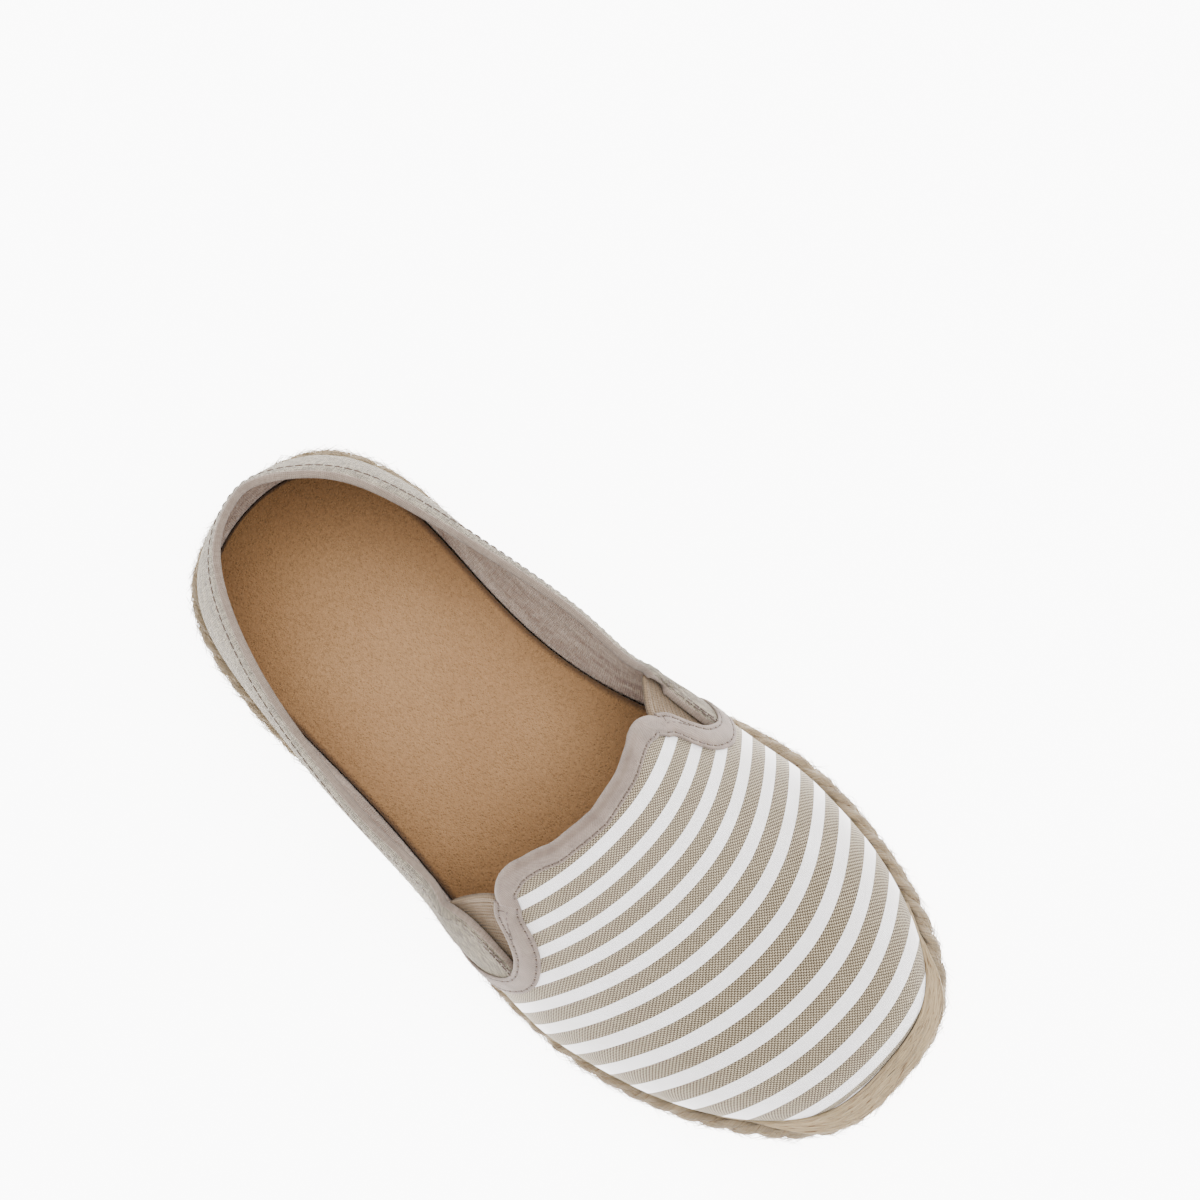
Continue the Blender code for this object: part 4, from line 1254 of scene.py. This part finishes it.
def layer(name, inset, low, high, across, finish, bevel=0.0003, rim=None):
    """A closed layer with its lower and upper face as grids and a rounded rim."""
    count, around = len(STATIONS), len(ALL_ROUND)
    shares = np.linspace(0.0, 1.0, across)

    def outline(extra):
        return inset_edge(ALL_ROUND, inset(ALL_ROUND) + extra)

    def raised(flat, face, extra=0.0):
        return with_height(flat, face(flat[..., 0], flat[..., 1]) + extra)

    outer, inner = outline(bevel)[:count], outline(bevel)[count:][::-1]
    flat = outer[:, None] + (inner - outer)[:, None] * shares[None, :, None]
    points = [raised(flat, face).reshape(-1, 3) for face in (low, high)]
    for share, face, way in ((BEVEL_TURN, low, 1), (0.0, low, 1), (0.0, high, -1), (BEVEL_TURN, high, -1)):
        points.append(raised(outline(bevel * share), face, way * bevel * (1 - share)))
    points = np.concatenate(points)
    grid = ring_faces(count, across, False, False)
    faces = [grid, grid[:, ::-1] + count * across]
    rim_index = np.concatenate([np.arange(count) * across, np.arange(count)[::-1] * across + across - 1])
    rings = [2 * count * across + ring * around + np.arange(around) for ring in range(4)]
    rings = [rim_index, *rings, rim_index + count * across]
    for lower, higher in zip(rings[:-1], rings[1:]):
        faces.append(np.stack([lower, np.roll(lower, -1), np.roll(higher, -1), higher], 1))
    marks = None
    if rim is not None:
        # First mask: the dark edge, partly burnished and partly painted shade in the gap against the wall.
        from_side = np.minimum(shares, 1 - shares) * np.linalg.norm(inner - outer, axis=1)[:, None]
        mask = np.concatenate([from_side.ravel(), from_side.ravel(), np.zeros(4 * around)])
        # Second mask: painted shade, darker away from the board's middle.
        from_middle = np.hypot(*((points[:, :2] - UNSHADED_MIDDLE) / SHADE_REACH).T)
        shade = smooth_step((from_middle - SHADE_START) / SHADE_FADE)
        marks = np.stack([np.clip(1 - mask / rim, 0.0, 1.0), shade], 1)
    return add_piece(name, points, np.concatenate(faces).tolist(), (finish,),
                     points[:, :2] + points[:, 2:], None, marks)


# %% Insole, core and outsole
TREAD_PITCH = 0.0034
TREAD_DEPTH = 0.0005
TREAD_WAVE = 0.0011
TREAD_WAVE_PITCH = 0.011
GROOVE_SLOPE, GROOVE_LAND = 2.2, 0.9
CORE_INSET = 0.0016
CORE_LIFT = 0.00005
INSOLE_DISH = 0.00035
DISH_EDGE = 2.2
INSOLE_OVERLAP = 0.00015
INSOLE_BEVEL = 0.0004
INSOLE_RIM = 0.0007


def tread(x, y):
    """Wavy grooves across the tread."""
    wave = x + TREAD_WAVE * np.sin(2 * math.pi * y / TREAD_WAVE_PITCH)
    groove = np.clip(np.cos(2 * math.pi * wave / TREAD_PITCH) * GROOVE_SLOPE - GROOVE_LAND, 0.0, 1.0)
    return sole_bottom(x) + TREAD_DEPTH * groove


def insole_height(x, y):
    """A slight hollow under the foot."""
    dish = INSOLE_DISH * np.cos(np.clip(np.abs(y / BALL_WIDTH) * DISH_EDGE, 0, 1) * math.pi / 2)
    return sole_top(x) + GAP + INSOLE_THICK - dish


insole = layer("insole_board", lambda place: foot_inset(place) + WALL - INSOLE_OVERLAP,
               lambda x, y: sole_top(x) + GAP, insole_height, 50, insole_tan,
               INSOLE_BEVEL, INSOLE_RIM)
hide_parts("insole")
outsole = layer("rubber_outsole", lambda place: OUTSOLE_SETBACK + 0 * place, tread,
                lambda x, y: sole_bottom(x) + OUTSOLE_THICK, 80, rubber, OUTSOLE_BEVEL)
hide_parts("outsole")
core = layer("jute_core", lambda place: CORE_INSET + 0 * place,
             lambda x, y: sole_bottom(x) + OUTSOLE_THICK + CORE_LIFT, lambda x, y: sole_top(x), 12,
             rope_jute)
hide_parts("jute_midsole")

# %% [markdown]
# ## Jute ropes
# A rope is two strands that turn round each other. Each strand is a tube whose middle runs on a helix
# about the rope's path, and whose section has shallow lobes for the yarns in it. Two such ropes are wound
# round the side of the sole, and a finer one covers the joint of sole and upper.

# %% Twisted ropes
HEEL_TUCK, HEEL_SPAN, HEEL_FADE = 0.0006, 4.0, 2.5
PATH_POINTS, ROPE_POINTS, ROPE_SIDES = 4001, 1100, 18
ROW_RADIUS = 0.0018
EDGE_LAY, ROW_LAY = 0.0106, 0.0125
STRAND_SIZE, STRAND_ORBIT = 0.66, 0.38
YARNS, YARN_DEPTH, YARN_TURN = 6, 0.06, 2.6
UNEVEN_LAY, UNEVEN_SIZE = (60, 0.16), (160, 0.045)
ROW_SHARES = (0.25, 0.75)
UP = np.array([0.0, 0.0, 1.0])
random_draw = np.random.default_rng(25)


def closed_path(inset, height, count):
    """A line round the sole, further in at the heel: points, outward directions, lengths, whole length."""
    def at_inset(place):
        from_heel = np.minimum(place, ROUND - place)
        return inset_edge(place, inset + HEEL_TUCK * smooth_step((HEEL_SPAN - from_heel) / HEEL_FADE))

    dense = np.linspace(0, ROUND, PATH_POINTS)
    length = run_lengths(at_inset(dense), 0)
    run = np.arange(count) / count * length[-1]
    at = np.interp(run, length, dense)
    flat = at_inset(at)
    return with_height(flat, height(flat[:, 0])), with_height(outward(at), 0 * at), run, length[-1]


def smooth_random(count, knots, size):
    """A slowly changing closed random line."""
    values = random_draw.normal(0.0, size, knots)
    at = np.arange(count) / count * knots
    first = np.floor(at).astype(int)
    share = smooth_step(at - first)
    return values[first % knots] * (1 - share) + values[(first + 1) % knots] * share


def twisted_rope(name, radius, height, pitch):
    """Two strands wound round each other along the sole's edge."""
    points, out, run, total = closed_path(radius, height, ROPE_POINTS)
    angle = circle(ROPE_SIDES)
    tubes = []
    for strand in range(2):
        turned = round(total / pitch) * run / total + strand / 2
        phase = 2 * math.pi * turned + smooth_random(ROPE_POINTS, *UNEVEN_LAY)
        size = radius * STRAND_SIZE * (1 + smooth_random(ROPE_POINTS, *UNEVEN_SIZE))
        orbit = out * np.cos(phase)[:, None] + UP * np.sin(phase)[:, None]
        twist = YARN_TURN * phase[:, None]
        reach = size[:, None] * (1 + YARN_DEPTH * np.cos(YARNS * angle - twist))
        middle = points + orbit * radius * STRAND_ORBIT
        rings = middle[:, None] + spokes(out, UP, ROPE_SIDES) * reach[..., None]
        place = np.stack([np.broadcast_to(run[:, None], reach.shape), (angle - twist) * size.mean()], -1)
        tubes.append((rings, place.reshape(-1, 2), 0))
    return add_tubes(name, tubes, (rope_jute,), closed=True)


def edge_height(x):
    return sole_top(x) - ROPE_DROP


def row_height(number):
    """The middle of a rope row on the sole's side, between outsole and edge rope."""
    def height(x):
        low, high = sole_bottom(x) + OUTSOLE_THICK, edge_height(x) - ROPE_RADIUS
        return low + (high - low) * ROW_SHARES[number]

    return height


edge_rope = twisted_rope("edge_rope_twist", ROPE_RADIUS, edge_height, EDGE_LAY)
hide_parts("edge_rope")
for number in range(2):
    twisted_rope(f"side_rope_{number + 1}", ROW_RADIUS, row_height(number), ROW_LAY)

# %% [markdown]
# ## Loose jute
# Round the toe a flat band of untwisted jute lies between rope and canvas. It is made of many thin strands
# that wander side by side. Short hairs stand off all the ropes, as they do on any new pair.

# %% The toe's loose band
BAND_SPAN, BAND_FADE = 3.1, 1.9
ROPE_COVER = 2.1 * ROPE_RADIUS
CROWN_IN, CROWN_RISE = 1.25 * ROPE_RADIUS, 1.08 * ROPE_RADIUS
BAND_UNDER, BAND_SHORT = 0.0002, 0.0004
STRANDS, STRAND_POINTS, STRAND_SIDES, STRAND_RADIUS = 54, 120, 6, 0.00016
STRAND_WAVER, STRAND_RISE, STRAND_SPREAD = (11, 0.13), (14, 0.00009), (-0.3, 0.5)
STRAND_SHIFT = 0.01
at = TIP + np.linspace(-BAND_SPAN, BAND_SPAN, STRAND_POINTS)
inner = foot_inset(at) - swell_spline(at)[:, 0] * BALL_WIDTH - BAND_UNDER
spread = smooth_step((BAND_SPAN - from_tip(at)) / BAND_FADE)
outer = ROPE_COVER * (1 - spread) + BAND_SHORT
tubes = []
for strand in range(STRANDS):
    share = (strand + 0.5) / STRANDS
    waver = smooth_random(STRAND_POINTS, *STRAND_WAVER)
    inset = outer + (inner - outer) * np.clip(share + waver * (1 - share**4), 0.0, 1.0)
    flat = inset_edge(at, inset)
    crown = np.sqrt(np.maximum(CROWN_RISE**2 - np.clip(CROWN_IN - inset, 0.0, None) ** 2, 0.0))
    rise = crown + smooth_random(STRAND_POINTS, *STRAND_RISE)
    line = with_height(flat, edge_height(flat[:, 0]) + rise)
    radius = STRAND_RADIUS * (1 + random_draw.uniform(*STRAND_SPREAD))
    around = circle(STRAND_SIDES) * radius + strand * STRAND_SHIFT
    place = np.stack(np.meshgrid(run_lengths(line, 0), around, indexing="ij"), -1).reshape(-1, 2)
    tubes.append((tube(line, np.full(STRAND_POINTS, radius), STRAND_SIDES, UP), place, 0))
toe_strands = add_tubes("toe_strands", tubes, (loose_jute,))
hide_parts("toe_band")

# %% Hairs
HAIR_RADIUS = 0.000055
HAIR_SPOTS, HAIR_ROOT = 2000, 0.9
GROUND_CLEAR = 0.0002
HAIR_ANGLE, HAIR_LENGTH, HAIR_LEAN, HAIR_CURL = (-0.9, 1.7), (0.0008, 0.0032), (0.1, 0.75), 0.35


def hairs(name, count, radius, height, near_heel=None):
    """Short fibres that leave a rope and bend back along it, all round it or near the heel."""
    points, out, _, _ = closed_path(radius, height, HAIR_SPOTS)
    share = np.linspace(0.0, 1.0, 6)[:, None]
    tubes = []
    for _ in range(count):
        spot = random_draw.integers(len(points))
        if near_heel is not None:
            spot = int(random_draw.normal(0.0, near_heel) * len(points)) % len(points)
        angle = random_draw.uniform(*HAIR_ANGLE)
        away = out[spot] * math.cos(angle) + UP * math.sin(angle)
        forward = np.cross(UP, out[spot]) * random_draw.choice((-1.0, 1.0))
        length = random_draw.uniform(*HAIR_LENGTH)
        lean = random_draw.uniform(*HAIR_LEAN)
        curl = random_draw.normal(0, HAIR_CURL)
        line = points[spot] + away * radius * HAIR_ROOT
        line = line + forward * length * share + away * length * lean * share**1.4 * (1 - 0.45 * share)
        line = line + np.cross(away, forward) * length * curl * share**2
        line[:, 2] = np.maximum(line[:, 2], GROUND_CLEAR)
        rings = tube(line, HAIR_RADIUS * (1 - 0.7 * share[:, 0]), 3, away + 0.1 * UP)
        tubes.append((rings, rings.reshape(-1, 3)[:, :2], 0))
    return add_tubes(name, tubes, (loose_jute,))


hairs("edge_rope_hairs", 2700, ROPE_RADIUS, edge_height)
hairs("heel_hairs", 900, ROPE_RADIUS, edge_height, 0.09)
for number in range(2):
    hairs(f"side_rope_hairs_{number + 1}", 700, ROW_RADIUS, row_height(number))
